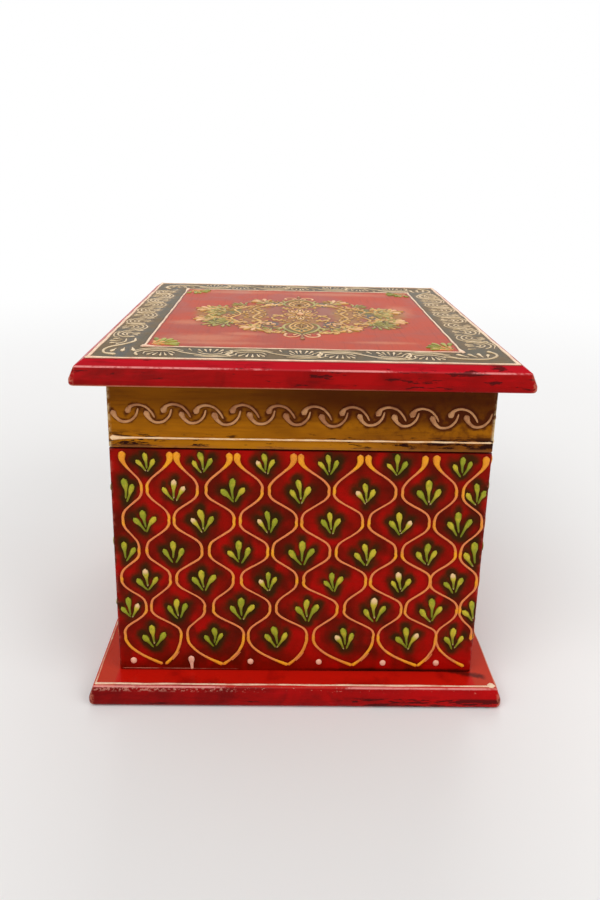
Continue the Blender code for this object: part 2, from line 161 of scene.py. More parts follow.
class Finish(Graph):      # a material whose colours are laid one over the other
    def __init__(self, name, specular=0.5, metal=0.0, sheen=0.0):
        self.material = bpy.data.materials.new(name)
        self.material.use_nodes = True
        super().__init__(self.material.node_tree)
        self.shader = self.tree.nodes["Principled BSDF"]
        self.fix({"Specular IOR Level": specular, "Metallic": metal, "Sheen Weight": sheen})
        place = self.add("ShaderNodeTexCoord", None, None, "Object")
        # metres to millimetres
        self.place = self.add("ShaderNodeVectorMath", {"operation": "SCALE"}, {0: place, "Scale": 1 / mm})

    def fix(self, values):      # values that are the same all over the surface
        for key, value in values.items():
            self.shader.inputs[key].default_value = value

    def noise(self, scale, detail=3.0, roughness=0.55, warp=0.0, stretch=None):
        place = self.place
        if stretch is not None:
            place = self.add("ShaderNodeMapping", None, {"Vector": place, "Scale": stretch})
        return self.add("ShaderNodeTexNoise", None, {"Vector": place, "Scale": scale, "Detail": detail,
                                                     "Roughness": roughness, "Distortion": warp}, "Fac")

    def ground(self, amount, deep, light):      # the first coat, deep to light
        self.colour = self.mix(amount, seen(*deep), seen(*light))

    def cover(self, amount, *paint):      # one more coat
        self.colour = self.mix(amount, self.colour, seen(*paint))

    def done(self, cloud, gloss, height, depth):      # the roughness follows the cloud between two values
        bump = self.add("ShaderNodeBump", None, {"Height": height, "Distance": depth * mm, "Strength": 1.0})
        roughness = self.ramp(cloud, 0.3, 0.7, *gloss)
        for wire, name in ((self.colour, "Base Color"), (roughness, "Roughness"), (bump, "Normal")):
            self.link(wire, self.shader.inputs[name])
        return self.material


# Mesh helpers

def addObject(name, mesh, finish=None):
    piece = bpy.data.objects.new(name, mesh)
    bpy.context.scene.collection.objects.link(piece)
    if finish is not None:
        mesh.materials.clear()
        mesh.materials.append(finish)
    return piece


def meshOf(builder, name):
    mesh = bpy.data.meshes.new(name)
    builder.to_mesh(mesh)
    builder.free()
    return mesh


def joined(meshes, name):
    builder = bmesh.new()
    for mesh in meshes:
        builder.from_mesh(mesh)
        bpy.data.meshes.remove(mesh)
    return meshOf(builder, name)


def evaluatedMesh(piece):      # a plain mesh, with the modifiers' work in it
    return bpy.data.meshes.new_from_object(piece.evaluated_get(bpy.context.evaluated_depsgraph_get()))


def settle(piece, body, slot):
    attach(piece, body)
    return piece


def closedGrid(columns, rows):      # faces of a grid, down its rim to a second ring, and across that ring
    rim = ([(c, 0) for c in range(columns - 1)] + [(columns - 1, r) for r in range(rows - 1)]
           + [(c, rows - 1) for c in range(columns - 1, 0, -1)] + [(0, r) for r in range(rows - 1, 0, -1)])
    faces = [(r * columns + c, r * columns + c + 1, (r + 1) * columns + c + 1, (r + 1) * columns + c)
             for r in range(rows - 1) for c in range(columns - 1)]
    start = columns * rows
    for number, (c, r) in enumerate(rim):
        after = (number + 1) % len(rim)
        nextC, nextR = rim[after]
        faces.append((r * columns + c, start + number, start + after, nextR * columns + nextC))
    faces.append(tuple(reversed(range(start, start + len(rim)))))
    return rim, faces


# Faces are numbered front, right, back and left

faceDistance = (halfDepth, halfWidth, halfDepth, halfWidth)
faceHalfSpan = (halfWidth, halfDepth, halfWidth, halfDepth)


def faceMatrix(index, lift):      # face x to the right, y up and z outwards, in millimetres
    stand = Matrix(((1, 0, 0, 0), (0, 0, -1, -faceDistance[index] - lift), (0, 1, 0, 0), (0, 0, 0, 1)))
    return Matrix.Scale(mm, 4) @ Matrix.Rotation(math.radians(90 * index), 4, "Z") @ stand


def levelMatrix(height):      # x and y as in the frame, in millimetres
    return Matrix.Scale(mm, 4) @ Matrix.Translation((0, 0, height))


# Strokes of thick paint: each is a list of (x, y, radius) on its face

def strokeEnd(here, after, radius, further):
    here, after = Vector(here), Vector(after)
    length = (here - after).length
    away = (here - after).normalized()
    cap = []
    for degrees in (10, 30, 58):
        angle = math.radians(degrees)
        spot = here + away * radius * math.cos(angle)
        cap.append((spot.x, spot.y, radius * math.sin(angle)))
    helpers = []      # closer points keep a long first stretch from looping
    reach = 1.6 * radius
    while length > 10 * radius and reach < 0.45 * length:
        spot = here.lerp(after, reach / length)
        helpers.append((spot.x, spot.y, radius + (further - radius) * reach / length))
        reach *= 2.4
    return cap, helpers


def stroke(path, radii):      # round ends past the first and last points
    startCap, startHelpers = strokeEnd(*path[:2], *radii[:2])
    endCap, endHelpers = strokeEnd(*path[:-3:-1], *radii[:-3:-1])
    body = [(x, y, radius) for (x, y), radius in zip(path, radii)]
    return startCap + body[:1] + startHelpers + body[1:-1] + endHelpers[::-1] + body[-1:] + endCap[::-1]


def dab(head, tail, headRadius, tailRadius=0.22, bend=0.0):      # a comma: fat head, thin tail
    head, tail = Vector(head), Vector(tail)
    side = Vector((tail.y - head.y, head.x - tail.x))
    shape = ((0.0, 1.0), (0.15, 1.0), (0.28, 0.82), (0.41, 0.44), (0.6, 0.2), (1.0, 0.0))
    path, radii = [], []
    for share, fat in shape:
        spot = head.lerp(tail, share) + side * bend * 4 * share * (1 - share)
        path.append((spot.x, spot.y))
        radii.append(tailRadius + (headRadius - tailRadius) * fat)
    return stroke(path, radii)


def reshaped(strokes, across=1.0, along=1.0, weight=1.0, right=0.0, up=0.0):      # scaled, then moved
    return [[(x * across + right, y * along + up, r * weight) for x, y, r in points] for points in strokes]


def turnedBy(strokes, degrees):
    cosine, sine = math.cos(math.radians(degrees)), math.sin(math.radians(degrees))
    return [[(cosine * x - sine * y, sine * x + cosine * y, r) for x, y, r in points] for points in strokes]


def fan(hub, direction, count, spread, length, headRadius, dice):      # dabs that open from a hub
    hub = Vector(hub)
    strokes = []
    for number in range(count):
        share = number / (count - 1)
        angle = math.radians(direction + (share - 0.5) * spread + dice.uniform(-3, 3))
        reach = length * (1 - 0.18 * abs(2 * share - 1)) * dice.uniform(0.94, 1.06)
        aim = Vector((math.cos(angle), math.sin(angle)))
        size = headRadius * dice.uniform(0.88, 1.1)
        strokes.append(dab(hub + aim * reach, hub + aim * length * 0.2, size, 0.2, 0.12 * (1 - 2 * share)))
    return strokes


def startTree(name, inputs):      # its graph, and a wire from each input
    tree = bpy.data.node_groups.new(name, "GeometryNodeTree")
    for label, kind in (("Geometry", "Geometry"),) + inputs:
        tree.interface.new_socket(label, in_out="INPUT", socket_type="NodeSocket" + kind)
    tree.interface.new_socket("Geometry", in_out="OUTPUT", socket_type="NodeSocketGeometry")
    graph = Graph(tree)
    return graph, graph.outputs("NodeGroupInput")


def endTree(graph, mesh, paint):
    mesh = graph.add("GeometryNodeRealizeInstances", None, {"Geometry": mesh})
    mesh = graph.add("GeometryNodeSetMaterial", None, {"Geometry": mesh, "Material": paint})
    graph.link(mesh, graph.tree.nodes.new("NodeGroupOutput").inputs[0])
    return graph.tree


def makeSweepTree():
    graph, take = startTree("thickPaint", (("Spacing", "Float"), ("Flatness", "Float"), ("Sunk", "Float"),
                                           ("Sides", "Int"), ("Seed", "Int"), ("Paint", "Material")))
    curve = graph.add("GeometryNodeCurveSplineType", {"spline_type": "CATMULL_ROM"},
                      {"Curve": take["Geometry"]})
    curve = graph.add("GeometryNodeResampleCurve", {"mode": "LENGTH"},
                      {"Curve": curve, "Length": take["Spacing"]})
    curve = graph.store(curve, "along", graph.add("GeometryNodeSplineParameter", None, None, "Factor"))
    owner = graph.add("GeometryNodeCurveOfPoint", None, None, "Curve Index")
    luck = graph.add("FunctionNodeRandomValue", {"data_type": "FLOAT"},
                     {"ID": owner, "Seed": take["Seed"]}, 1)
    curve = graph.store(curve, "shade", luck)
    width = graph.add("GeometryNodeInputRadius")
    curve = graph.store(curve, "width", width)
    ring = graph.add("GeometryNodeCurvePrimitiveCircle", None, {"Resolution": take["Sides"], "Radius": 1.0})
    mesh = graph.add("GeometryNodeCurveToMesh", None,
                     {"Curve": curve, "Profile Curve": ring, "Scale": width, "Fill Caps": True})
    x, y, z = graph.split(graph.add("GeometryNodeInputPosition"))
    full = graph.add("GeometryNodeInputNamedAttribute", {"data_type": "FLOAT"}, {"Name": "width"},
                     "Attribute")
    mesh = graph.store(mesh, "rise", z / full)
    flat = graph.math("MAXIMUM", z * take["Flatness"], 0.0 - take["Sunk"])
    spot = graph.add("ShaderNodeCombineXYZ", None, {0: x, 1: y, 2: flat})
    mesh = graph.add("GeometryNodeSetPosition", None, {"Geometry": mesh, "Position": spot})
    mesh = graph.add("GeometryNodeSetShadeSmooth", None, {"Geometry": mesh})
    return endTree(graph, mesh, take["Paint"])


sweepTree = makeSweepTree()


def runTree(holder, tree, values):      # a plain mesh from an object with a node tree on it
    modifier = holder.modifiers.new("shape", "NODES")
    modifier.node_group = tree
    for item in tree.interface.items_tree:
        if item.in_out == "INPUT" and item.name in values:
            modifier[item.identifier] = values[item.name]
    mesh = evaluatedMesh(holder)
    holder.modifiers.remove(modifier)
    bpy.data.objects.remove(holder)
    return mesh


raised = {
    "spacing": 0.5, "sides": 8,      # between the rings of a stroke, and points in each ring
    "flatness": 0.45,      # height as a share of half the width
    "sunk": 0.05,      # how far a stroke reaches into its ground
}


def paintedOn(name, perFace, paint, body, slot, **changes):      # one piece from the strokes of several faces
    values = {key.capitalize(): value for key, value in {**raised, **changes}.items()}
    meshes = []
    for number, (strokes, matrix) in enumerate(perFace):
        data = bpy.data.curves.new("strokes", "CURVE")
        data.dimensions = "3D"
        for points in strokes:
            spline = data.splines.new("POLY")
            spline.points.add(len(points) - 1)
            for point, (x, y, radius) in zip(spline.points, points):
                point.co = (x, y, 0, 1)
                point.radius = radius
        mesh = runTree(addObject("strokes", data), sweepTree, {**values, "Seed": 10 + number, "Paint": paint})
        bpy.data.curves.remove(data)
        mesh.transform(matrix)
        meshes.append(mesh)
    settle(addObject(name, joined(meshes, name), paint), body, slot)


# Paint grounds: thin skins over the joined boards, with the washes kept as attributes

skin = {
    "lift": 0.25, "thickness": 0.2, "cornerRadius": 0.8, "cornerSteps": 4,
    "wallStep": 0.9, "bandStep": 0.55, "lidStep": 0.62,      # sizes of the grid
    "lidHalf": 72.2, "footGap": 0.05,      # half side of the lid's skin, bare strip at the foot of the walls
    "leafRoom": 1.2, "leafSide": 0.4,      # kept free around the hinge leaves
    "rimReach": 1.0,      # width of the wash along the corners
}


def nearest(points):      # distance to the closest of many points
    tree = KDTree(len(points))
    for number, spot in enumerate(points):
        tree.insert((spot[0], spot[1], 0), number)
    tree.balance()
    return lambda x, y: tree.find((x, y, 0))[2]


def strokeDots(strokes, gap):      # points along strokes, for washes around them
    dots = []
    for points in strokes:
        for (ax, ay, _), (bx, by, _) in zip(points, points[1:]):
            steps = max(1, int(math.hypot(bx - ax, by - ay) / gap))
            dots += [(ax + (bx - ax) * s / steps, ay + (by - ay) * s / steps) for s in range(steps)]
    return dots


def washAround(perFace, reach, gap=0.45):      # 1 on a face's strokes, 0 from the reach on
    near = [nearest(strokeDots(strokes, gap)) for strokes in perFace]
    return lambda index, x, y: max(0.0, 1.0 - near[index](x, y) / reach)


def rimWash(index, x, y):
    return max(0.0, 1.0 - (faceHalfSpan[index] - abs(x)) / skin["rimReach"])


def behindHinge(index, x):      # skins stop short of the hinge leaves at the back
    room = skin["leafSide"]
    return index == 2 and any(low.x - room < -x < high.x + room for low, high in hinges)


def skinMesh(name, vertices, faces, values, paint):
    mesh = bpy.data.meshes.new(name)
    mesh.from_pydata(vertices, [], faces)
    mesh.shade_smooth()
    mesh.set_sharp_from_angle(angle=math.radians(50))
    for key, numbers in values.items():
        numbers += [0.0] * (len(vertices) - len(numbers))
        layer = mesh.attributes.new(key, "FLOAT", "POINT")
        layer.data.foreach_set("value", np.array(numbers, dtype=np.float32))
    return addObject(name, mesh, paint)


def wallSkin(name, bottom, top, step, washes, paint, notchAtTop):
    radius = skin["cornerRadius"]
    columns = []      # face, x on the face, place and outward direction
    for index in range(4):
        half = faceHalfSpan[index]
        matrix = faceMatrix(index, skin["lift"])
        outward = (matrix.to_3x3() @ Vector((0, 0, 1))).normalized()
        count = round(2 * (half - radius) / step)
        for number in range(count + 1):
            x = (half - radius) * (2 * number / count - 1)
            columns.append((index, x, matrix @ Vector((x, 0, 0)), outward))
        centre = matrix @ Vector((half - radius, 0, -radius - skin["lift"]))
        for turn in range(1, skin["cornerSteps"]):
            angle = math.radians(90 * index - 90 + 90 * turn / skin["cornerSteps"])
            outward = Vector((math.cos(angle), math.sin(angle), 0))
            columns.append((index, half, centre + outward * (radius + skin["lift"]) * mm, outward))
    rows = round((top - bottom) / step)
    vertices, hidden = [], []
    values = {key: [] for key in washes}
    for row in range(rows + 1):
        for index, x, spot, outward in columns:
            low, high = bottom, top
            if behindHinge(index, x):
                low, high = (low, high - skin["leafRoom"]) if notchAtTop else (low + skin["leafRoom"], high)
            y = low + (high - low) * row / rows
            vertices.append((spot.x, spot.y, y * mm))
            if row in (0, rows):      # the inner side needs only its two rims
                back = spot - outward * skin["thickness"] * mm
                hidden.append((back.x, back.y, y * mm))
            for key, wash in washes.items():
                values[key].append(wash(index, x, y))
    ring = len(columns)
    last, low = rows * ring, len(vertices)
    high = low + ring
    faces = []
    for number in range(ring):
        after = (number + 1) % ring
        for row in range(rows):
            a, b = row * ring + number, row * ring + after
            faces.append((a, b, b + ring, a + ring))
        faces.append((last + number, last + after, high + after, high + number))
        faces.append((high + number, high + after, low + after, low + number))
        faces.append((low + number, low + after, after, number))
    return skinMesh(name, vertices + hidden, faces, values, paint)


def lidSkin(name, washes, paint):
    half = skin["lidHalf"]
    count = round(2 * half / skin["lidStep"])
    stops = [half * (2 * n / count - 1) for n in range(count + 1)]
    spots = [(x, y) for y in stops for x in stops]
    values = {key: [wash(x, y) for x, y in spots] for key, wash in washes.items()}
    rim, faces = closedGrid(count + 1, count + 1)
    top = lidTop + skin["lift"]
    vertices = [(x * mm, y * mm, top * mm) for x, y in spots]
    vertices += [(stops[c] * mm, stops[r] * mm, (top - skin["thickness"]) * mm) for c, r in rim]
    return skinMesh(name, vertices, faces, values, paint)


# Camera and studio

view = {
    "place": (-7.2, -288.7, 195.7),      # millimetres
    "turn": 1.19, "tilt": 14.83, "roll": 1.33,      # degrees
    "lens": 27.44,
    "shift": (0.0036, -0.1168),
}


def addCamera():
    turn, tilt, roll = (math.radians(view[key]) for key in ("turn", "tilt", "roll"))
    forward = Vector((math.sin(turn) * math.cos(tilt), math.cos(turn) * math.cos(tilt), -math.sin(tilt)))
    right = Vector((math.cos(turn), -math.sin(turn), 0))
    up = right.cross(forward)
    right, up = (right * math.cos(roll) + up * math.sin(roll), up * math.cos(roll) - right * math.sin(roll))
    data = bpy.data.cameras.new("camera")
    data.lens = view["lens"]
    data.sensor_width = 36
    data.shift_x, data.shift_y = view["shift"]
    data.clip_start = 0.01
    camera = bpy.data.objects.new("camera", data)
    camera.matrix_world = Matrix.Translation(Vector(view["place"]) * mm) @ Matrix(
        (right, up, -forward)).transposed().to_4x4()
    bpy.context.scene.collection.objects.link(camera)
    bpy.context.scene.camera = camera


studio = {
    "world": 0.5,
    "lamps": (      # place in metres, aim, width, watts
        ((-0.55, -0.75, 1.15), (0.0, 0.0, 0.08), 0.9, 7.5),
        ((0.75, -0.55, 0.85), (0.0, 0.0, 0.06), 0.7, 3.5),
        ((0.1, 0.9, 1.1), (0.0, 0.0, 0.1), 0.8, 5.0),
    ),
    "floorColour": (0.88, 0.87, 0.86, 1.0),
    "floorNear": 0.16, "floorFar": 0.8,      # metres over which the floor turns white to the camera
    "floorRadius": 12.0, "floorDrop": 0.0002,      # metres
}


def seenDirectly(graph):      # camera, glossy and transmission rays see a white background
    rays = graph.outputs("ShaderNodeLightPath")
    direct = rays["Is Camera Ray"] + rays["Is Glossy Ray"] + rays["Is Transmission Ray"]
    return graph.math("MINIMUM", direct, 1.0)


def addStudio():
    for number, (place, aim, width, watts) in enumerate(studio["lamps"]):
        data = bpy.data.lights.new("softbox%d" % number, "AREA")
        data.shape = "SQUARE"
        data.size = width
        data.energy = watts
        lamp = bpy.data.objects.new(data.name, data)
        lamp.location = place
        lamp.rotation_euler = (Vector(aim) - Vector(place)).to_track_quat("-Z", "Y").to_euler()
        bpy.context.scene.collection.objects.link(lamp)
    world = bpy.data.worlds.new("studio")
    bpy.context.scene.world = world
    world.use_nodes = True
    graph = Graph(world.node_tree)
    ground = world.node_tree.nodes["Background"]
    ground.inputs["Color"].default_value = (1, 1, 1, 1)
    strength = seenDirectly(graph) * (1 - studio["world"]) + studio["world"]
    graph.link(strength, ground.inputs["Strength"])

    builder = bmesh.new()
    bmesh.ops.create_circle(builder, cap_ends=True, radius=studio["floorRadius"], segments=96)
    floorPaint = Finish("paleFloor", specular=0.2)
    floorPaint.fix({"Base Color": studio["floorColour"], "Roughness": 0.9})
    reach = floorPaint.add("ShaderNodeVectorMath", {"operation": "LENGTH"}, {0: floorPaint.place}, "Value")
    far = floorPaint.ramp(reach, studio["floorNear"] / mm, studio["floorFar"] / mm)
    glow = floorPaint.add("ShaderNodeEmission", None, {"Color": (1, 1, 1, 1), "Strength": 1.0})
    body = Wire(floorPaint, floorPaint.shader.outputs[0])
    blend = floorPaint.add("ShaderNodeMixShader", None,
                           {"Fac": far * seenDirectly(floorPaint), 1: body, 2: glow})
    floorPaint.link(blend, floorPaint.tree.nodes["Material Output"].inputs["Surface"])
    floor = addObject("floor", meshOf(builder, "floor"), floorPaint.material)
    floor.location.z = -studio["floorDrop"]


addCamera()
addStudio()
bpy.context.scene.view_settings.view_transform = "Standard"
print("camera and studio ready")


# Finishes of the painted surfaces

def redWallFinish():
    red = Finish("redWallPaint", specular=0.04)
    across, _, height = red.split(red.place)
    cloud = red.noise(0.045, 3, 0.6, 0.6)
    paintedLightLowRight = red.ramp(across, 5, 55, 0.0, 0.15) * red.ramp(height, 70, 25)      # painted light, brighter red there
    patch = red.noise(0.1, 1, 0.5, stretch=(1.4, 1.4, 0.9)) + paintedLightLowRight
    streak = red.noise(0.9, 3, 0.6, stretch=(0.05, 0.05, 0.9))
    red.ground(red.ramp(cloud, 0.38, 0.62), (102, 14, 1), (148, 12, 2))
    red.cover(red.ramp(patch, 0.48, 0.72) * 0.85, 182, 8, 4)
    red.cover(red.ramp(patch, 0.46, 0.3) * 0.45, 76, 14, 1)
    red.cover(streak * 0.35, 66, 12, 1)
    smoke = red.attribute("halo") * red.ramp(red.noise(0.09, 2), 0.35, 0.6, 0.75, 1.15)
    smoke = smoke + (red.noise(0.22, 4) - 0.5) * 0.9
    red.cover(red.ramp(smoke, 0.12, 0.84) * 0.92, 42, 30, 5)
    red.cover(red.attribute("wash") * 0.4, 62, 10, 2)
    # painted shadow along the foot of the wall, stronger to the right
    foot = red.ramp(height + (red.noise(0.2, 3) - 0.5) * 1.6, wallBottom + 1.7, wallBottom + 0.5)
    red.cover(foot * red.ramp(across, -22, 30) * 0.85, 38, 8, 2)
    rim = red.attribute("rim") * red.ramp(red.noise(0.5, 4), 0.5, 0.62)
    red.cover(rim * 0.35, 190, 96, 80)
    return red.done(cloud, (0.36, 0.48), streak * 0.7 + red.noise(3.0, 2) * 0.25, 0.12)


def goldBandFinish():
    gold = Finish("goldBandPaint", specular=0.04)
    across, along, height = gold.split(gold.place)
    front = gold.ramp(along, -62, -66)
    rightward = gold.ramp(across, -30, 66) * front
    pastMiddle = gold.ramp(across + (gold.noise(0.1, 2) - 0.5) * 20, -22, 14) * front
    cloud = gold.noise(0.06, 3, 0.6, 0.4, stretch=(0.5, 0.5, 1.4))
    streak = gold.noise(0.9, 4, 0.65, stretch=(0.05, 0.05, 1.0))
    gold.ground(gold.ramp(cloud, 0.35, 0.65), (140, 82, 4), (168, 102, 8))
    gold.cover(gold.ramp(streak, 0.45, 0.75) * 0.5, 108, 56, 4)
    # painted shade under the lid's overhang, darker towards the lid's edge, and darker between the two rows
    # of scrolls, more so on the right
    shade = gold.ramp(height + (cloud - 0.5) * 9, bandTop - 14, bandTop - 5)
    gold.cover(shade * (pastMiddle * 0.5 + 0.38), 78, 28, 0)
    middle = gold.ramp(gold.absolute(height - bandTop + 9.5) + (cloud - 0.5) * 8, 7, 3)
    gold.cover(middle * (pastMiddle * 0.45 + 0.2), 78, 28, 0)
    wash = gold.attribute("wash") + (gold.noise(0.4, 4) - 0.5) * 1.3 + rightward * 0.4
    gold.cover(gold.ramp(wash, 0.24, 0.85) * 0.9, 70, 24, 4)
    # scars, a lighter strip and a worn edge at the foot
    low = gold.ramp(height, bandBottom + 7.4, bandBottom + 3.4)
    scar = gold.noise(0.5, 5, 0.75, stretch=(0.2, 0.2, 1.1))
    ends = gold.ramp(gold.absolute(across + 4), 30, 62, 0.0, 0.105) * front
    gold.cover(low * rightward * 0.6, 96, 44, 14)
    strip = gold.ramp(height, bandBottom + 3.2, bandBottom + 2.0)
    strip = strip * gold.ramp(gold.absolute(across + 8), 52, 18)
    gold.cover(strip * 0.7, 188, 120, 16)
    gold.cover(gold.ramp(scar + ends, 0.575, 0.615) * low, 42, 12, 5)
    bottom = gold.ramp(height, bandBottom + 1.3, bandBottom + 0.4)
    gold.cover(bottom * gold.ramp(scar, 0.4, 0.52) * 0.6, 150, 92, 44)
    rim = gold.attribute("rim") * gold.ramp(gold.noise(0.35, 4), 0.42, 0.55)
    gold.cover(rim * 0.85, 205, 178, 130)
    return gold.done(cloud, (0.34, 0.5), streak * 0.7 + gold.noise(3.0, 2) * 0.2, 0.12)


def thickPaintFinish(name, light, deep, tip=None, tipShare=0.0, thin=None, thinWidth=(0.4, 0.6), tail=None,
                     edge=None):
    thick = Finish(name, specular=0.14)
    shade = thick.attribute("shade")
    cloud = thick.noise(0.25, 3)
    thick.ground(thick.ramp(cloud + (shade - 0.5) * 0.35, 0.35, 0.65), deep, light)
    if tail is not None:      # the foot of a dab is darker than its head
        foot = thick.ramp(thick.attribute("along") + (cloud - 0.5) * 0.6, 0.3, 0.8)
        thick.cover(foot * 0.8, *tail)
    if thin is not None:      # where the stroke runs thin, the paint is paler or pinker
        fullness = thick.ramp(thick.attribute("width") + (cloud - 0.5) * 0.2, *thinWidth)
        thick.colour = thick.mix(fullness, seen(*thin), thick.colour)
    if tip is not None:      # some heads are touched with a paler paint
        head = thick.ramp(thick.attribute("along"), 0.34, 0.1)
        thick.cover(head * thick.ramp(shade, 1.0 - tipShare, 1.02 - tipShare) * 0.85, *tip)
        end = thick.ramp(thick.attribute("along"), 0.86, 0.98)
        thick.cover(end * thick.ramp(shade, 0.55, 0.7) * 0.6, *tip)
    if edge is not None:      # painted shade along the low sides of a dab, where it meets the ground
        thick.cover(thick.ramp(thick.attribute("rise"), 0.8, 0.1) * 0.85, *edge)
    return thick.done(cloud, (0.32, 0.44), thick.noise(1.2, 3), 0.15)


# Ogee lines and leaf sprigs of the four walls

ogee = {
    "rowHeights": (96.5, 83.3, 71.2, 58.9, 47.2, 35.2, 23.1, 11.0),
    # distance of each line from the left edge, at each row, as drawn on the front
    "lines": (
        (4.2, 10.5, 3.7, 8.9, 2.2, 10.7, 2.5, 15.6),
        (20.7, 12.7, 19.9, 11.8, 19.9, 12.7, 23.3, 17.6),
        (23.2, 30.3, 21.9, 31.6, 22.3, 32.3, 25.7, 38.3),
        (41.6, 33.4, 43.2, 34.3, 42.9, 35.6, 46.8, 39.5),
        (44.3, 53.2, 45.4, 55.4, 45.9, 56.4, 48.5, 63.0),
        (64.0, 55.7, 65.5, 57.2, 66.2, 59.0, 70.5, 64.0),
        (66.6, 76.8, 67.5, 77.9, 68.8, 81.5, 73.0, 87.5),
        (87.5, 78.8, 89.3, 80.3, 91.6, 84.2, 95.6, 88.5),
        (90.2, 100.6, 91.7, 102.0, 93.5, 105.5, 97.5, 112.3),
        (110.3, 103.1, 113.4, 104.5, 115.3, 107.1, 119.4, 113.4),
        (114.3, 122.3, 115.3, 123.8, 115.6, 126.3, 119.5, 130.5),
        (131.8, 124.7, 132.4, 125.8, 132.7, 127.5, 133.4),
    ),
    "bulgeRadius": 0.55, "thinRadius": 0.36, "blobRadius": 1.35, "footRadius": 0.72,
    "dotHeight": 12.2, "dotPlaces": (5.2, 27.0, 49.4, 75.4, 99.8, 120.2), "dotRadius": 1.15,
    "sprigScale": 1.0,
    "topSprigs": 94.0, "backTopSprigs": 92.6, "backDrop": 1.9,      # lower at the back, clear of the hinges
    "sideSprigs": (5.6, 5.4),      # distance beyond the first and the last line
    "haloReach": 4.4, "lineReach": 1.8,      # widths of the dark washes
}


def wallLayout(index, dice):      # the drawn lines, or a redrawn set for the other walls
    lines = [list(line) for line in ogee["lines"]]
    if index:
        wander = [dice.uniform(-0.8, 0.8) for _ in lines]
        lines = [[x + wander[n] + dice.uniform(-0.5, 0.5) for x in line] for n, line in enumerate(lines)]
        if index % 2:
            lines = [[2 * faceHalfSpan[index] - x for x in line] for line in reversed(lines)]
    return lines


# how full the paint lies from one row to the next: place, and share from thin to bulge
ogeeFullness = (0.0, 1.0), (0.12, 0.8), (0.27, 0.3), (0.42, 0.0), (0.56, 0.0), (0.7, 0.2), (0.86, 0.7)


def ogeeStroke(line, heights, half, dice):
    path, radii = [], []
    thick, thin = ogee["bulgeRadius"], ogee["thinRadius"]
    for level, (x, y) in enumerate(zip(line, heights)):
        if level + 1 == len(line):
            path.append((x - half, y))
            radii.append(ogee["footRadius"] * dice.uniform(0.85, 1.15))
            break
        nextX, nextY = line[level + 1], heights[level + 1]
        last = level + 2 == len(heights)
        slim = thin * dice.uniform(0.9, 1.15) * (1.4 if last else 1.0)
        for share, full in ogeeFullness:
            late = min(max((share - 0.1) / (0.8 if level == 0 else 0.74), 0), 1)
            ease = share ** 2.1 if last else late * late * (3 - 2 * late)
            path.append((x + (nextX - x) * ease - half + dice.uniform(-0.1, 0.1), y + (nextY - y) * share))
            radii.append((slim + (thick - slim) * full) * dice.uniform(0.92, 1.1))
    radii[:4] = [ogee["blobRadius"] * dice.uniform(0.88, 1.08), 1.12, 0.66, 0.45]
    edge = half - 0.95
    path = [(min(max(x, -edge), edge), y) for x, y in path]
    return stroke(path, radii)


def splitStroke(points, foot, dice):      # a second hair of paint beside the last stretch of some lines
    near = [(x, y) for x, y, _ in points if foot + 0.7 < y < foot + 6.5]
    if near[0][0] < near[-1][0] or dice.random() < 0.2:
        return None
    gap = dice.uniform(0.75, 0.95)
    return [(x + gap, y, 0.14 + 0.14 * n / len(near)) for n, (x, y) in enumerate(near)]


def sprig(x, y, scale, dice):      # three dabs that meet at the foot
    def jitter(amount):
        return dice.uniform(-amount, amount)
    strokes = []
    for hx, hy, radius, tx, ty in ((-0.4, 6.7, 1.24, 0.1, 0.6), (-3.2, 3.4, 1.1, -0.3, -0.8),
                                   (3.0, 4.2, 1.1, 0.7, -0.7)):
        head = (x + (hx + jitter(0.5)) * scale, y + (hy + jitter(0.5)) * scale)
        tail = (x + (tx + jitter(0.3)) * scale, y + (ty + jitter(0.4)) * scale)
        strokes.append(dab(head, tail, radius * scale * dice.uniform(0.88, 1.1), 0.35, jitter(0.06)))
    return strokes


def wallArt(index):
    dice = random.Random(40 + index)
    half = faceHalfSpan[index]
    atBack = index == 2
    lines = wallLayout(index, dice)
    heights = list(ogee["rowHeights"])
    if atBack:
        heights[0] -= ogee["backDrop"]
    ogees = [ogeeStroke(line, heights, half, dice) for line in lines]
    splits = [splitStroke(points, heights[7], dice) for line, points in zip(lines, ogees) if len(line) == 8]
    ogees += [mark for mark in splits if mark]
    sprigs = []
    rows = list(zip(*lines))
    for level, height in enumerate([ogee["backTopSprigs" if atBack else "topSprigs"]] + heights[1:7]):
        places = rows[level]
        wide = level % 2      # sprigs sit between lines 0 and 1, 2 and 3, or at the sides and between 1 and 2
        xs = [(places[n] + places[n + 1]) / 2 for n in range(wide, 11 - wide, 2)]
        if wide:
            left, right = ogee["sideSprigs"]
            xs = [places[0] - left] + xs + [places[11] + right]
        for x in xs:
            x += dice.uniform(-0.6, 0.6)
            scale = ogee["sprigScale"] * (0.86 if level == 0 else dice.uniform(0.9, 1.1))
            for mark in sprig(x - half, height - 3.6 * scale, scale, dice):
                if abs(mark[3][0]) < half - 1.0:      # a dab that reaches a corner is squeezed inside it
                    sprigs.append([(min(max(px, r + 0.5 - half), half - r - 0.5), py, r)
                                   for px, py, r in mark])
    dots = []
    for number, x in enumerate(ogee["dotPlaces"]):
        x = (x if index % 2 == 0 else 2 * half - x) - half
        y = ogee["dotHeight"] + dice.uniform(-0.3, 0.3)
        if number == 1:      # this one was drawn out
            dots.append(dab((x, y + 1.1), (x + 0.2, y - 3.2), ogee["dotRadius"], 0.5))
        else:
            radius = ogee["dotRadius"] * dice.uniform(0.92, 1.08)
            dots.append(stroke([(x, y + 0.12), (x, y - 0.12)], [radius] * 2))
    return {"ogees": ogees, "sprigs": sprigs, "dots": dots}


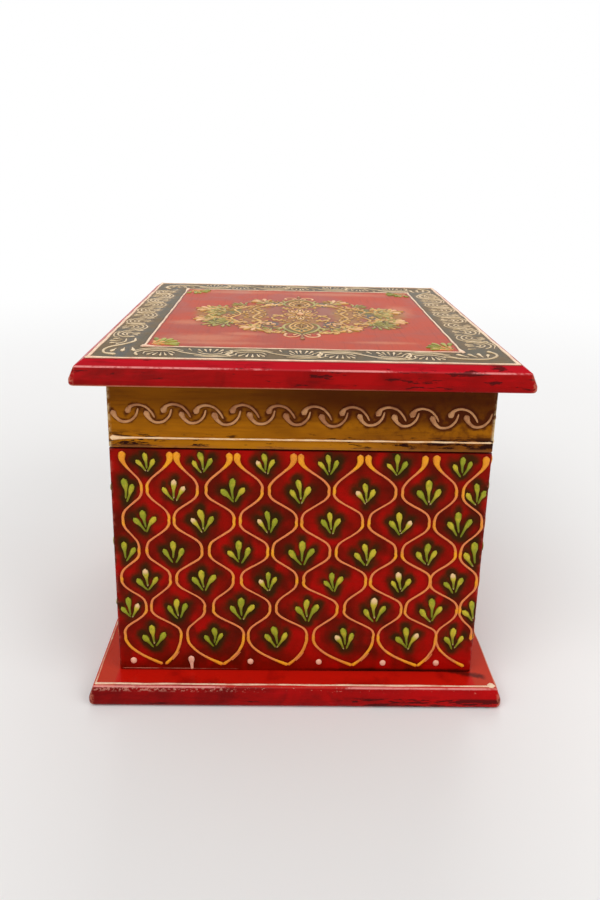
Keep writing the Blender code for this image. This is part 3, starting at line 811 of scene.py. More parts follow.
walls = [wallArt(index) for index in range(4)]
washes = {"halo": washAround([wall["sprigs"] for wall in walls], ogee["haloReach"], 0.8),
          "wash": washAround([wall["ogees"] for wall in walls], ogee["lineReach"]), "rim": rimWash}
bodyGround = wallSkin("wall_paint", wallBottom + skin["footGap"], wallTop, skin["wallStep"], washes,
                      redWallFinish(), notchAtTop=True)
settle(bodyGround, "box", "red_paint")

orangeLine = thickPaintFinish("orangeLinePaint", (240, 160, 30), (226, 138, 40), thin=(224, 130, 76))
# edge: colour of the painted shade along the low sides of each dab
leafGreen = thickPaintFinish("leafGreenPaint", (196, 176, 48), (146, 150, 34), (236, 194, 150), 0.15,
                             tail=(104, 112, 18), edge=(84, 78, 12))
pinkDot = thickPaintFinish("pinkDotPaint", (240, 184, 156), (226, 150, 124))
faces = [faceMatrix(index, skin["lift"]) for index in range(4)]
for name, key, paint, changes in (("ogee_lines", "ogees", orangeLine, {"spacing": 0.65}),
                                  ("leaf_sprigs", "sprigs", leafGreen, {"spacing": 0.6, "flatness": 0.5}),
                                  ("wall_dots", "dots", pinkDot, {"spacing": 0.3, "sides": 14})):
    paintedOn(name, [(wall[key], face) for wall, face in zip(walls, faces)], paint, "box", "red_paint",
              **changes)
print("walls painted")


# Band of the lid frame: a running chain of C strokes over a white line

band = {
    "cupPlaces": (1.9, 13.2, 25.2, 36.5, 48.5, 61.0, 73.3, 86.4, 98.4, 111.6, 123.4),
    "archPlaces": (7.0, 19.2, 30.3, 42.8, 55.2, 67.3, 80.4, 92.9, 104.7, 118.0, 129.4),
    "cupHeight": 112.2, "archHeight": 113.1,
    "cup": ((0.1, -0.5), (1.0, -2.2), (3.0, -3.7), (5.8, -3.4), (7.9, -1.4), (8.7, 1.0)),
    "cupRadii": (1.06, 0.66, 0.5, 0.46, 0.4, 0.28),
    "arch": ((0.0, 0.0), (1.0, 1.5), (3.4, 2.2), (6.2, 1.4), (8.2, -0.6), (9.2, -2.4)),
    "archRadii": (1.08, 0.62, 0.46, 0.42, 0.38, 0.28),
    "lineHeight": 102.8, "lineRadius": 0.32, "lineSteps": 40,
    "lineStart": 1.4, "lineMargins": 2.2,      # bare on the left, and on both sides together
    "scrollReach": 1.9,      # width of the dark wash
}


def bandArt(index):
    dice = random.Random(70 + index)
    half = faceHalfSpan[index]
    strokes = []
    for kind in ("cup", "arch"):
        radii = band[kind + "Radii"]
        for place in band[kind + "Places"]:
            lift = band[kind + "Height"] + dice.uniform(-0.25, 0.25)
            if index:      # less even on the other three sides
                lift += dice.uniform(-0.4, 0.4)
            grow = dice.uniform(0.95, 1.04)
            path = [(place - half + x * grow, lift + y * grow) for x, y in band[kind]]
            keep = [n for n, (x, _) in enumerate(path) if x < half - 1.0]
            if len(keep) > 2:
                strokes.append(stroke([path[n] for n in keep],
                                      [radii[n] * dice.uniform(0.92, 1.08) for n in keep]))
    path, radii = [], []
    for number in range(band["lineSteps"] + 1):
        x = -half + band["lineStart"] + (2 * half - band["lineMargins"]) * number / band["lineSteps"]
        path.append((x, band["lineHeight"] + dice.uniform(-0.05, 0.05)))
        radii.append(band["lineRadius"] * dice.uniform(0.85, 1.15))
    radii[:3] = 1.0, 0.52, 0.38      # the line starts with a blob
    return {"scroll": strokes, "line": [stroke(path, radii)]}


bands = [bandArt(index) for index in range(4)]
washes = {"wash": washAround([art["scroll"] for art in bands], band["scrollReach"]), "rim": rimWash}
bandGround = wallSkin("band_paint", bandBottom, bandTop, skin["bandStep"], washes, goldBandFinish(),
                      notchAtTop=False)
settle(bandGround, "lid", "gold_paint")
beigeScroll = thickPaintFinish("beigeScrollPaint", (200, 146, 98), (168, 112, 72))
whiteLine = thickPaintFinish("whiteLinePaint", (246, 210, 166), (234, 180, 122))
for name, key, paint, spacing in (("band_scroll", "scroll", beigeScroll, 0.5),
                                  ("band_line", "line", whiteLine, 0.8)):
    paintedOn(name, [(art[key], face) for art, face in zip(bands, faces)], paint, "lid", "gold_paint",
              spacing=spacing)
print("band painted")


# Top of the lid: scrolled border, red field and medallion, all in millimetres from its middle

lidArt = {
    "outerLine": 71.3, "outerRadius": 0.64, "innerLine": 55.8, "innerRadius": 0.44,
    "artShadowReach": 1.5, "innerShadowReach": 1.7,      # widths of the painted shadows beside the strokes
    "frontShift": 1.1, "frontSlope": 0.009,      # the inner line dips towards the front, most at the right
    "dipFrom": 30, "dipOver": 26,      # distances in front of the middle
    "frontCrests": (-49.3, -18.3, 12.2, 42.7),      # where the border's arches stand along the front and back
    "leftCrests": (-57.5, -36.0, -14.5, 7.1, 28.4),
    "rightCrests": (-57.9, -37.1, -16.3, 4.5, 25.3, 46.1),
    "frontPeriod": 30.8, "sidePeriod": 21.3, "borderWeight": 0.86,
    # clusters of the medallion: angle from the front, distance and size
    "clusters": ((37, 26.8, 1.1), (74, 36.0, 1.05), (102, 36.4, 1.05), (147, 26.5, 1.1)),
    # tinted ellipses: middle, half width and half height
    "mauve": ((-11, 4, 4.2, 12), (11, 4, 4.2, 12), (0, 0, 6, 6)),
    "blue": ((-12.5, -18.5, 4, 5.5), (12.5, -18.5, 4, 5.5), (-11, 21, 4, 5.5), (11, 21, 4, 5.5),
             (31, -2, 4, 8)),
    "green": ((-28.5, 6, 4, 9), (28.5, 8, 4, 8), (-34, -15, 6, 5), (34, -15, 6, 5), (0, -27, 7, 9)),
    "gold": ((-38, 2, 8, 14), (38, 2, 8, 14), (-20, 0, 7, 20), (20, 0, 7, 20), (0, 24, 7, 14),
             (0, -14, 9, 14), (-17, -27, 7, 5), (17, -27, 7, 5), (-17, 27, 7, 5), (17, 27, 7, 5)),
    "ground": ((0, 0, 44, 24), (0, -16, 20, 18), (0, 16, 20, 18), (-31, -15, 12, 12), (31, -15, 12, 12)),
    "pale": ((-36, -43, 18, 6.5), (-33, -50, 22, 3.0), (-22, -36, 10, 3.0), (30, -46, 14, 2.2),
             (-45, -18, 9, 5), (20, 48, 30, 5), (-30, 50, 22, 5), (44, 10, 7, 14)),
}


squareSteps = 24


def aroundSquare(half, radius, dice, wobble, blob):      # four lines that meet in blobs at the corners
    strokes = []
    for side in range(4):
        path, radii = [], []
        for number in range(squareSteps + 1):
            path.append((-half + 2 * half * number / squareSteps, -half + dice.uniform(-wobble, wobble)))
            radii.append(radius * dice.uniform(0.82, 1.18))
        path[0], path[-1] = (-half, -half), (half, -half)
        radii[0] = blob * dice.uniform(0.8, 1.1)
        strokes += turnedBy([stroke(path, radii)], 90 * side)
    return strokes


def towardsFront(strokes):      # follows the dip of the inner line
    def dip(x, y):
        share = min(max((-y - lidArt["dipFrom"]) / lidArt["dipOver"], 0), 1)
        return (lidArt["frontShift"] + lidArt["frontSlope"] * x) * share
    return [[(x, y - dip(x, y), r) for x, y, r in points] for points in strokes]


def borderUnit(crest, period, low, dice, arch, cup):
    # an arch over a fan at the crest, then a cup under one; low: the cup's place in shares of the period
    def place(u, v):
        return (crest + u * period + dice.uniform(-0.25, 0.25), v + dice.uniform(-0.18, 0.18))

    def trail(spots, radii, at=0.0):
        strokes.append(stroke([place(at + u, v) for u, v in spots], radii))

    def fanOf(shares, head, tail, bow):      # dabs side by side, the outer ones set back
        middle = sum(shares) / len(shares)
        for share in shares:
            away = share - middle
            tip = place(share, head + bow * abs(away))
            strokes.append(dab(tip, place(middle + away * 0.55, tail), fat, 0.14))

    strokes = []
    narrow = period < 25
    fat = 0.42 if narrow else 0.54
    if arch:
        line = [(-0.22, 3.0), (-0.25, 6.2), (-0.17, 9.6), (0.0, 11.3), (0.16, 10.2), (0.26, 7.6)]
        radii = [0.72, 0.5, 0.44, 0.42, 0.4, 0.38]
        if cup:
            line += [(low - 0.16, 4.4), (low, 3.0), (low + 0.14, 4.2), (low + 0.22, 7.2), (low + 0.2, 10.4)]
            radii += [0.4, 0.42, 0.42, 0.44, 0.7]
        else:
            line += [(0.34, 5.0), (0.44, 4.2)]
            radii += [0.36, 0.3]
        trail(line, radii)
        trail([(-0.29, 8.0), (-0.2, 11.2), (-0.02, 13.0), (0.15, 12.0), (0.26, 9.6)],
              (0.2, 0.3, 0.32, 0.3, 0.2))
        trail([(-0.16, 4.6), (-0.14, 7.4), (0.0, 9.3), (0.12, 8.2), (0.18, 6.0)],
              (0.26, 0.32, 0.34, 0.32, 0.22))
        if narrow:
            trail([(-0.09, 4.4), (-0.07, 6.4), (0.01, 7.4), (0.08, 6.4)], (0.3, 0.34, 0.34, 0.24))
            fanOf((-0.07, 0.01, 0.09), 2.4, 5.2, 5)
        else:
            fanOf((-0.11, -0.04, 0.03, 0.1, 0.16), 2.4, 6.6, 6)
    elif cup:
        trail([(-0.2, 6.0), (-0.14, 4.2), (0.0, 3.0), (0.14, 4.2), (0.22, 7.2), (0.2, 10.4)],
              (0.3, 0.4, 0.42, 0.42, 0.44, 0.7), low)
    if cup:
        trail([(-0.18, 2.8), (0.0, 1.5), (0.18, 2.6), (0.28, 5.4)], (0.2, 0.32, 0.32, 0.2), low)
        trail([(-0.15, 8.2), (-0.1, 6.0), (0.0, 5.0), (0.1, 6.2), (0.13, 8.6)],
              (0.22, 0.32, 0.34, 0.32, 0.22), low)
        if narrow:
            trail([(-0.08, 9.0), (-0.06, 7.4), (0.01, 6.8), (0.07, 7.6)], (0.3, 0.34, 0.34, 0.24), low)
            fanOf([low + u for u in (-0.09, -0.01, 0.07)], 12.2, 9.2, -5)
        else:
            fanOf([low + u for u in (-0.15, -0.08, -0.02, 0.05, 0.12)], 12.2, 8.0, -6)
        strokes.append(dab(place(low - 0.26, 12.4), place(low - 0.22, 9.8), 0.5, 0.16))
    return strokes


# where the border's runs meet; a dab is its head, its tail and their radii
corners = {
    "curl": ((-60.9, -45.6), (-60.4, -49.7), (-62.9, -53.9), (-67.0, -58.0), (-68.3, -62.0), (-67.0, -65.8),
             (-63.8, -67.2)),
    "curlRadii": (0.35, 0.5, 0.5, 0.5, 0.5, 0.5, 0.85),
    "inside": ((-64.0, -46.5), (-63.6, -50.6), (-66.0, -54.4)), "insideRadii": (0.26, 0.34, 0.26),
    "hook": ((48.0, -63.6), (54.6, -66.0), (62.0, -65.8), (66.2, -62.6), (67.2, -59.0), (65.4, -56.2)),
    "hookRadii": (0.35, 0.5, 0.5, 0.52, 0.52, 0.8),
    "curlDabs": (((-68.4, -46.6), (-65.2, -47.6), 0.55, 0.16), ((-68.8, -49.6), (-65.4, -49.8), 0.6, 0.16),
                 ((-68.2, -52.6), (-65.8, -51.8), 0.55, 0.16), ((-65.2, -63.4), (-64.6, -59.6), 0.75, 0.18),
                 ((-61.8, -62.6), (-61.9, -58.8), 0.8, 0.18), ((-58.3, -61.9), (-59.4, -58.0), 0.75, 0.18)),
    "hookDabs": (((57.4, -60.2), (59.6, -63.4), 0.7, 0.18), ((60.9, -59.6), (61.6, -63.2), 0.75, 0.18),
                 ((64.0, -60.4), (63.2, -63.4), 0.65, 0.18), ((53.4, -60.6), (56.6, -63.4), 0.65, 0.18)),
}


def borderArt():
    dice = random.Random(7)
    strokes = []
    wide, close = lidArt["frontPeriod"], lidArt["sidePeriod"]
    # crests, period, place of the cup between two crests, height and lift of the unit
    runs = ((lidArt["frontCrests"], wide, 0.58, 0.87, 1.5), (lidArt["rightCrests"], close, 0.5, 0.99, -0.4),
            (lidArt["frontCrests"], wide, 0.58, 0.9, 1.0), (lidArt["leftCrests"], close, 0.5, 0.87, -0.2))
    for side, (crests, period, low, tall, lift) in enumerate(runs):
        units = []
        for number, crest in enumerate(crests):
            units += borderUnit(crest, period, low, dice, side % 2 == 0 or number > 0,
                                side == 3 or number + 1 < len(crests))
        units = reshaped(units, 1.0, tall, lidArt["borderWeight"], up=lift - lidArt["outerLine"])
        strokes += turnedBy(units, 90 * side)
    curl, inside, hook = (stroke(corners[key], corners[key + "Radii"]) for key in ("curl", "inside", "hook"))
    curlDabs, hookDabs = ([dab(*mark) for mark in corners[key]] for key in ("curlDabs", "hookDabs"))
    corner = [curl, inside] + curlDabs + [hook] + hookDabs
    return strokes + corner + turnedBy(corner, 180)


def mirrored(strokes):
    return strokes + reshaped(strokes, -1)


def vine(path, radius, reach, count, dice):      # a stem with curls to both sides in turn
    stem = stroke(path, [radius * (0.8 + 0.4 * (n % 2)) for n in range(len(path))])
    strokes = [stem]
    for number in range(count):
        x, y, _ = stem[int((number + 0.7) / count * (len(stem) - 1))]
        side = 1 if number % 2 else -1
        far = side * reach * dice.uniform(0.8, 1.15)
        rise = reach * dice.uniform(0.5, 0.75)
        curl = ((0, 0), (0.5, 1), (1, 0.5), (0.75, -0.3))
        strokes.append(stroke([(x + far * u, y + rise * v) for u, v in curl], (0.32, 0.42, 0.4, 0.66)))
        strokes.append(dab((x - far * 0.75, y + rise * 0.9), (x - far * 0.1, y - rise * 0.2), 0.55))
    return strokes


medallion = {
    # stems of the right half: path, radius, reach of the curls and their number
    "vines": (([(10.5, -33.0), (15.5, -30.0), (19.5, -23.0), (16.5, -15.0), (20.0, -7.0), (17.6, 1.5),
                (20.4, 9.0), (16.0, 16.0), (11.0, 19.5)], 0.56, 3.5, 17),
              ([(25.0, -17.0), (29.0, -9.0), (25.6, -1.0), (28.6, 7.0), (23.6, 14.0)], 0.5, 3.2, 9),
              ([(34.0, -9.0), (39.0, -4.0), (36.4, 2.0), (40.5, 7.0), (35.0, 12.0)], 0.46, 3.0, 7),
              ([(8.6, -12.5), (12.2, -8.0), (9.4, -3.0)], 0.4, 2.2, 4)),
    # fans of the right half: hub, direction, number of dabs, spread, length and radius
    "sprays": (((30.5, 2.0), 4, 7, 128, 9.5, 0.78), ((26.5, -12.5), -28, 6, 100, 8.0, 0.7),
               ((24.0, 17.0), 42, 5, 90, 7.0, 0.7), ((34.0, -7.0), -30, 5, 150, 6.0, 0.64),
               ((33.5, 11.0), 24, 5, 150, 6.0, 0.64), ((12.0, -24.5), -110, 4, 120, 5.4, 0.6),
               ((29.5, -16.0), -56, 5, 84, 9.4, 0.66), ((31.0, -14.5), -40, 3, 50, 11.0, 0.56)),
    "paleSprays": (((12.5, -14.0), -78, 3, 60, 6.4, 0.7), ((11.5, 16.0), 78, 3, 60, 6.2, 0.7)),
    # dabs between two clusters: degrees from the front, distance from the middle and length
    "chainCount": 5, "chainStart": 46, "chainStep": 5.2, "chainReach": 33.0, "chainLength": 3.2,
    "seeds": 420, "seedRoom": 1.5,      # tries, and distance from any other stroke
}


def medallionArt():      # gold, green and pale strokes: a rosette, pendants, clusters, vines and sprays
    dice = random.Random(19)
    gold, green, pale = [], [], []
    petal = mirrored([stroke([(0, 3.2), (1.9, 6.0), (1.5, 8.8), (0, 10.6)], (0.4, 0.42, 0.36, 0.3))])
    between = turnedBy([dab((0, 12.4), (0, 10.4), 0.55, 0.2)], 22.5)
    for turn in range(8):
        gold += reshaped(turnedBy(petal + between, 45 * turn), 0.66, 1.1)
        pale += reshaped(turnedBy([dab((0, 8.0), (0, 5.0), 0.62, 0.2)], 45 * turn), 0.66, 1.1)
    pale.append(stroke([(0, 0.25), (0, -0.25)], (1.7, 1.7)))
    for end, reach in ((0, 1.0), (180, 0.92)):      # pendants towards the front and the back
        drop = [stroke([(0, -14), (3.2, -17.4), (4.7, -22.6), (3.2, -28), (0, -32.2)],
                       (0.4, 0.46, 0.46, 0.42, 0.4)),
                stroke([(0, -16), (2.2, -19), (2.6, -22.5), (0, -27)], (0.35, 0.42, 0.4, 0.3)),
                dab((0, -20.5), (0, -24.8), 0.95), dab((1.2, -30.4), (0.4, -27.6), 0.6),
                dab((3.0, -27.2), (1.4, -25.0), 0.55), dab((4.1, -24.0), (2.4, -21.8), 0.55)]
        leaf = [stroke([(4.6, -17.6), (6.6, -20.6), (7.0, -25.2), (4.8, -30.8), (0.6, -35.0)],
                       (0.4, 0.6, 0.7, 0.6, 0.4)),
                dab((8.6, -27.0), (6.8, -22.4), 0.8), dab((7.4, -31.2), (6.2, -27.4), 0.7)]
        curl = [stroke([(0.5, -35.8), (2.4, -39.2), (5.0, -39.6), (6.6, -37.6), (6.2, -35.4)],
                       (0.3, 0.42, 0.45, 0.45, 0.8))]
        tip = [dab((0, -42.6), (0, -36.2), 0.95), dab((3.1, -36.4), (1.2, -33.6), 0.5)]
        for strokes, group in ((drop, gold), (leaf, green), (curl, pale), (tip, pale)):
            group += turnedBy(reshaped(mirrored(strokes), 1, reach), end)
    for angle, distance, size in lidArt["clusters"]:
        for side in (-1, 1):
            direction = -90 + side * angle
            hub = (distance * math.cos(math.radians(direction)), distance * math.sin(math.radians(direction)))
            far = fan(hub, direction, 5, 74, 9.0 * size, 1.0, dice)
            pale += far[1:4:2]
            gold += far[0::2]
            green += fan(hub, direction, 4, 130, 5.6, 0.75, dice)
            gold += fan(hub, direction + 180, 3, 90, 6.0, 0.6, dice)
    for side in (-1, 1):
        arcs = [mark for row in medallion["vines"] for mark in vine(*row, dice)]
        for number in range(medallion["chainCount"]):
            angle = math.radians(-90 + medallion["chainStart"] + medallion["chainStep"] * number)
            aim = Vector((math.cos(angle), math.sin(angle)))
            reach = medallion["chainReach"] + 0.5 * (number % 2)
            arcs.append(dab(aim * reach, aim * (reach - medallion["chainLength"]), 0.62))
        gold += reshaped(arcs, side)
        for key, group in (("sprays", green), ("paleSprays", pale)):
            group += reshaped([mark for row in medallion[key] for mark in fan(*row, dice)], side)
    taken = washAround([gold + green + pale], medallion["seedRoom"])
    ground, plain = patchWash(lidArt["ground"]), patchWash(lidArt["mauve"])
    for _ in range(medallion["seeds"]):      # seeds in the bare places
        x, y = dice.uniform(-42, 42), dice.uniform(-32, 32)
        angle = dice.uniform(0, math.tau)
        if taken(0, x, y) == 0 and ground(x, y) > 0.34 and plain(x, y) < 0.3:
            size = dice.uniform(0.42, 0.68)
            gold.append(dab((x, y), (x + 2.2 * math.cos(angle), y + 2.2 * math.sin(angle)), size, 0.14))
    return gold, green, pale


def cornerSprigs():      # leaf fans in the corners of the field
    dice = random.Random(23)
    green, orange = [], []
    for turn in range(4):
        leaves = fan((-53.6, -53.8), 44, 6, 90, 10.2, 1.0, dice)
        buds = fan((-53.8, -53.6), 45, 3, 70, 5.4, 0.72, dice) + [dab((-51.6, -46.8), (-53.2, -50.4), 0.7)]
        green += turnedBy(leaves, 90 * turn)
        orange += turnedBy(buds, 90 * turn)
    return green, orange


def patchWash(patches):      # 1 in the middle of soft ellipses, 0 outside
    def wash(x, y):
        best = 0.0
        for cx, cy, rx, ry in patches:
            reach = math.hypot((x - cx) / rx, (y - cy) / ry)
            best = max(best, 1.0 - 0.7 * reach)
        return best
    return wash


borderStrokes = borderArt()
medallionGold, medallionGreen, medallionPale = medallionArt()
sprigGreen, sprigOrange = (towardsFront(strokes) for strokes in cornerSprigs())
lineDice = random.Random(31)
outerLines = aroundSquare(lidArt["outerLine"], lidArt["outerRadius"], lineDice, wobble=0.18, blob=0.9)
innerLines = aroundSquare(lidArt["innerLine"], lidArt["innerRadius"], lineDice, wobble=0.12, blob=1.15)
innerLines = towardsFront(innerLines)
artStrokes = borderStrokes + medallionGold + medallionPale + medallionGreen
artShadow = washAround([artStrokes], lidArt["artShadowReach"])
innerShadow = washAround([innerLines], lidArt["innerShadowReach"])


def lidTopFinish():
    top = Finish("lidTopPaint", specular=0.06)
    x, y, _ = top.split(top.place)
    across, along = top.absolute(x), top.absolute(y)
    reach = top.math("MAXIMUM", across, along)
    inside = top.math("MAXIMUM", y, 0 - y - (x * lidArt["frontSlope"] + lidArt["frontShift"]))
    inside = top.math("MAXIMUM", across, inside)
    inner = lidArt["innerLine"]
    cloud = top.noise(0.05, 3, 0.6, 0.5)
    grain = top.noise(0.8, 3, 0.6, stretch=(1.4, 0.06, 1))
    fine = top.noise(0.5, 4)
    # the border's slate ground, then the red field with the medallion's tints
    top.ground(top.ramp(cloud + (fine - 0.5) * 0.4, 0.35, 0.62), (78, 68, 44), (102, 80, 46))
    bluish = top.ramp(x, -58, -62) * top.ramp(across, 66, 60)
    top.cover(bluish * 0.7, 66, 72, 76)
    slate = top.colour
    top.ground(top.ramp(cloud, 0.35, 0.65), (166, 52, 16), (186, 63, 28))
    top.cover(top.ramp(grain, 0.5, 0.8) * 0.35, 126, 26, 12)
    pale = top.attribute("pale") + (fine - 0.5) * 0.5
    top.cover(top.ramp(pale, 0.1, 0.85) * 0.5, 206, 130, 92)
    for key, tint in (("ground", (146, 74, 44)), ("mauve", (152, 82, 60)), ("blue", (80, 88, 80)),
                      ("green", (104, 108, 46)), ("gold", (160, 108, 46))):
        amount = top.attribute(key) + (fine - 0.5) * 0.5
        top.cover(top.ramp(amount, 0.18, 0.6) * 0.85, *tint)
    top.colour = top.mix(top.ramp(inside, inner - 0.2, inner + 0.2), top.colour, slate)
    # painted shadow beside the strokes of the border and the medallion
    near = top.attribute("wash") + (fine - 0.5) * 0.7
    # painted sheen on the side borders, stronger towards the back: it weakens the painted shadow and pales
    # the ground around the strokes
    paintedSheen = top.ramp(across, inner + 1.6, inner + 3.2) * top.ramp(y, -55, 25, 0.3, 0.9)
    top.cover(top.ramp(near, 0.2, 0.85) * (0.7 - paintedSheen * 0.5), 46, 32, 20)
    top.cover(top.ramp(near, 0.0, 0.5) * paintedSheen * 0.65, 152, 122, 82)
    top.cover(top.ramp(reach, lidArt["outerLine"] + 0.2, lidArt["outerLine"] + 0.9), 178, 96, 84)
    return top.done(cloud, (0.3, 0.42), grain * 0.5 + fine * 0.3, 0.1)


washes = {key: patchWash(lidArt[key]) for key in ("mauve", "blue", "green", "gold", "ground", "pale")}
washes["wash"] = lambda x, y: max(artShadow(0, x, y), innerShadow(0, x, y))
settle(lidSkin("lid_top_paint", washes, lidTopFinish()), "lid", "red_paint")

onLid = levelMatrix(lidTop + skin["lift"])
creamLine = thickPaintFinish("creamLinePaint", (244, 214, 182), (230, 180, 152))
khakiScroll = thickPaintFinish("khakiScrollPaint", (236, 210, 172), (208, 182, 142))
goldStroke = thickPaintFinish("goldStrokePaint", (220, 172, 100), (188, 138, 72))
paleStroke = thickPaintFinish("paleStrokePaint", (238, 190, 144), (222, 164, 118))
mossStroke = thickPaintFinish("mossStrokePaint", (182, 164, 92), (144, 134, 68))
fieldLeaf = thickPaintFinish("fieldLeafPaint", (168, 162, 74), (122, 124, 46))
budStroke = thickPaintFinish("budStrokePaint", (222, 158, 92), (200, 126, 62))
for name, strokes, paint, spacing, flatness in (
        ("lid_outer_line", outerLines, creamLine, 0.8, 0.4),
        ("lid_inner_line", innerLines, creamLine, 0.8, 0.5),
        ("lid_border_scroll", borderStrokes, khakiScroll, 0.5, 0.5),
        ("medallion_gold", medallionGold, goldStroke, 0.45, 0.5),
        ("medallion_pale", medallionPale, paleStroke, 0.45, 0.5),
        ("medallion_green", medallionGreen, mossStroke, 0.45, 0.45),
        ("lid_corner_leaves", sprigGreen, fieldLeaf, 0.45, 0.5),
        ("lid_corner_buds", sprigOrange, budStroke, 0.45, 0.5)):
    paintedOn(name, [(strokes, onLid)], paint, "lid", "gold_paint", spacing=spacing, flatness=flatness)
print("lid top painted")


# Base slab and lid edge: glossy red with worn places, painted light on the top and a painted highlight along
# the ridge

edges = {
    "baseLine": 74.3, "baseLineRadius": 0.4,
    "lidRidge": (75.0, 130.6), "baseRidge": (75.3, 7.6),      # half width and height of each ridge
    # the pale line at the foot of the front wall, which fades out at its end
    "footLineEnd": -20.0, "footLineMargin": 1.0, "footLineStep": 4.0, "footLineHeight": 0.5,
}


def redEdgeFinish(name, ridge, litTop, lower, scuffs, chips, slant, aged):
    # scuffs: lowest and highest, and how many more on the right; chips and slant: amounts of pale specks and
    # of the change from left to right; aged: dull sides and a dark streak beside the wall
    red = Finish(name, specular=0.07)
    across, along, height = red.split(red.place)
    side, depth = red.absolute(across), red.absolute(along)
    reach, inner = red.math("MAXIMUM", side, depth), red.math("MINIMUM", side, depth)
    halfRidge, ridgeHeight = ridge
    cloud = red.noise(0.05, 3, 0.6, 0.8)
    streak = red.noise(0.5, 4, 0.6, stretch=(0.12, 0.12, 1.0))
    fine = red.noise(0.6, 4, 0.65)
    red.ground(red.ramp(cloud, 0.36, 0.62), *lower)
    # painted light: above the ridge, the slope and top are lighter than the face below
    red.cover(red.ramp(height, ridgeHeight - 0.5, ridgeHeight + 0.1), *litTop)
    red.cover(red.ramp(streak, 0.52, 0.75) * 0.5, 88, 4, 5)
    red.cover(red.ramp(streak, 0.45, 0.25) * 0.45, 186, 10, 20)
    front = red.ramp(along, -73.0, -74.5)
    red.cover(red.ramp(across, 15, -70) * front * (0.5 * slant), 84, 6, 6)
    red.cover(red.ramp(across, 5, 65) * front * (0.5 * slant), 194, 6, 12)
    if aged:
        onTop = red.ramp(height, ridgeHeight - 0.4, ridgeHeight + 0.2)
        dull = red.ramp(side + (cloud - 0.5) * 0.8, 66.4, 67.8)
        red.cover(dull * onTop * 0.9, 190, 56, 32)
        slope = red.absolute(along + 67.4 + (across - 64) * 0.3 + (streak - 0.5) * 3.0 + (fine - 0.5) * 2.0)
        marked = red.ramp(slope, 1.9, 0.3) * red.ramp(across, 50, 62) * red.ramp(across, 73, 70.5)
        red.cover(marked * onTop * 0.8, 60, 18, 10)
    else:      # the lid's lower rim is paler, most at the left
        paleLowRim = red.ramp(height + (fine - 0.5) * 0.5, lidLow.z + 0.8, lidLow.z + 0.3)
        red.cover(paleLowRim * red.ramp(across, 45, -10) * front * 0.75, 204, 128, 96)
    scar = red.noise(0.42, 5, 0.72, stretch=(0.16, 0.16, 1.1))
    low, high, bias = scuffs
    zone = red.ramp(height, low, low + 0.8) * red.ramp(height, high, high - 0.8)
    rightward = red.ramp(across, 0, 60, 0.0, bias) * front
    red.cover(red.ramp(scar + rightward, 0.60, 0.635) * zone * 0.8, 44, 8, 8)
    # a painted highlight along the ridge, broken, strongest at the left
    away = red.absolute(height - ridgeHeight) + red.absolute(reach - halfRidge)
    ridgeHighlight = red.ramp(away + (fine - 0.5) * 0.3, 0.6, 0.3)
    broken = red.noise(0.035, 2, stretch=(1, 1, 0.2)) + (fine - 0.5) * 0.4
    broken = broken + red.ramp(across, -5, -50, 0.0, 0.2) + red.ramp(across, 50, 72, 0.0, 0.04)
    red.cover(ridgeHighlight * red.ramp(broken, 0.5, 0.64, 0.08, 1.0) * 0.85, 234, 146, 142)
    speckle = red.noise(1.1, 3, 0.7, stretch=(0.7, 0.7, 1.2))
    belt = red.ramp(height, ridgeHeight - 2.1, ridgeHeight - 0.9)
    belt = belt * red.ramp(height, ridgeHeight + 0.4, ridgeHeight - 0.1)
    leftward = red.ramp(across, 10, -60, -0.04, 0.09) * front
    red.cover(belt * red.ramp(speckle + leftward, 0.58, 0.66) * chips, 226, 160, 140)
    corner = red.ramp(inner, 74.2, 75.6) * red.ramp(fine, 0.44, 0.56)
    red.cover(corner * 0.6, 196, 116, 92)
    return red.done(cloud, (0.26, 0.4), streak * 0.6 + fine * 0.4, 0.12)


def dress(prefixes, finish):      # CAD pieces that keep their mesh
    for name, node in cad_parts.items():
        if any(name == prefix or name.startswith(prefix + "_") for prefix in prefixes):
            for place in node.material_slots:
                place.material = finish


lidEdgeFinish = redEdgeFinish("lidEdgePaint", edges["lidRidge"], (184, 14, 30), ((128, 6, 4), (160, 7, 8)),
                              (lidLow.z + 0.4, edges["lidRidge"][1] + 2.4, 0.075),
                              chips=0.0, slant=0.3, aged=False)
baseFinish = redEdgeFinish("basePaint", edges["baseRidge"], (196, 22, 10), ((124, 8, 7), (164, 8, 7)),
                           (-1.5, 4.4, 0.15), chips=0.55, slant=0.9, aged=True)
dress(("lid_panel",), lidEdgeFinish)
dress(("base_plate",), baseFinish)
baseLines = aroundSquare(edges["baseLine"], edges["baseLineRadius"], random.Random(5), wobble=0.08, blob=0.62)
for side, out, share in ((1, 0.5, 0.45), (3, 0.0, 0.75)):      # the right and left lines are thinner
    baseLines[side:side + 1] = reshaped(baseLines[side:side + 1], weight=share, right=out)
baseLines.append(stroke([(72.9, -73.9), (73.4, -74.0)], (1.35, 1.2)))
basePale = thickPaintFinish("baseLinePaint", (248, 216, 184), (232, 182, 154), thin=(220, 142, 116),
                            thinWidth=(0.28, 0.36))
paintedOn("base_line", [(baseLines, levelMatrix(baseTop))], basePale, "box", "edge_paint", spacing=0.8)
footStops = []
footX = -halfWidth + edges["footLineMargin"]
while footX < edges["footLineEnd"]:
    footStops.append((footX, wallBottom + edges["footLineHeight"]))
    footX += edges["footLineStep"]
footRadii = [0.2 - 0.13 * n / len(footStops) for n in range(len(footStops))]
footFinish = thickPaintFinish("footLinePaint", (190, 110, 90), (120, 30, 22))
paintedOn("foot_line", [([stroke(footStops, footRadii)], faces[0])], footFinish, "box", "red_paint",
          spacing=1.2, sides=6)
print("edges painted")


# Boards and pins behind the paint

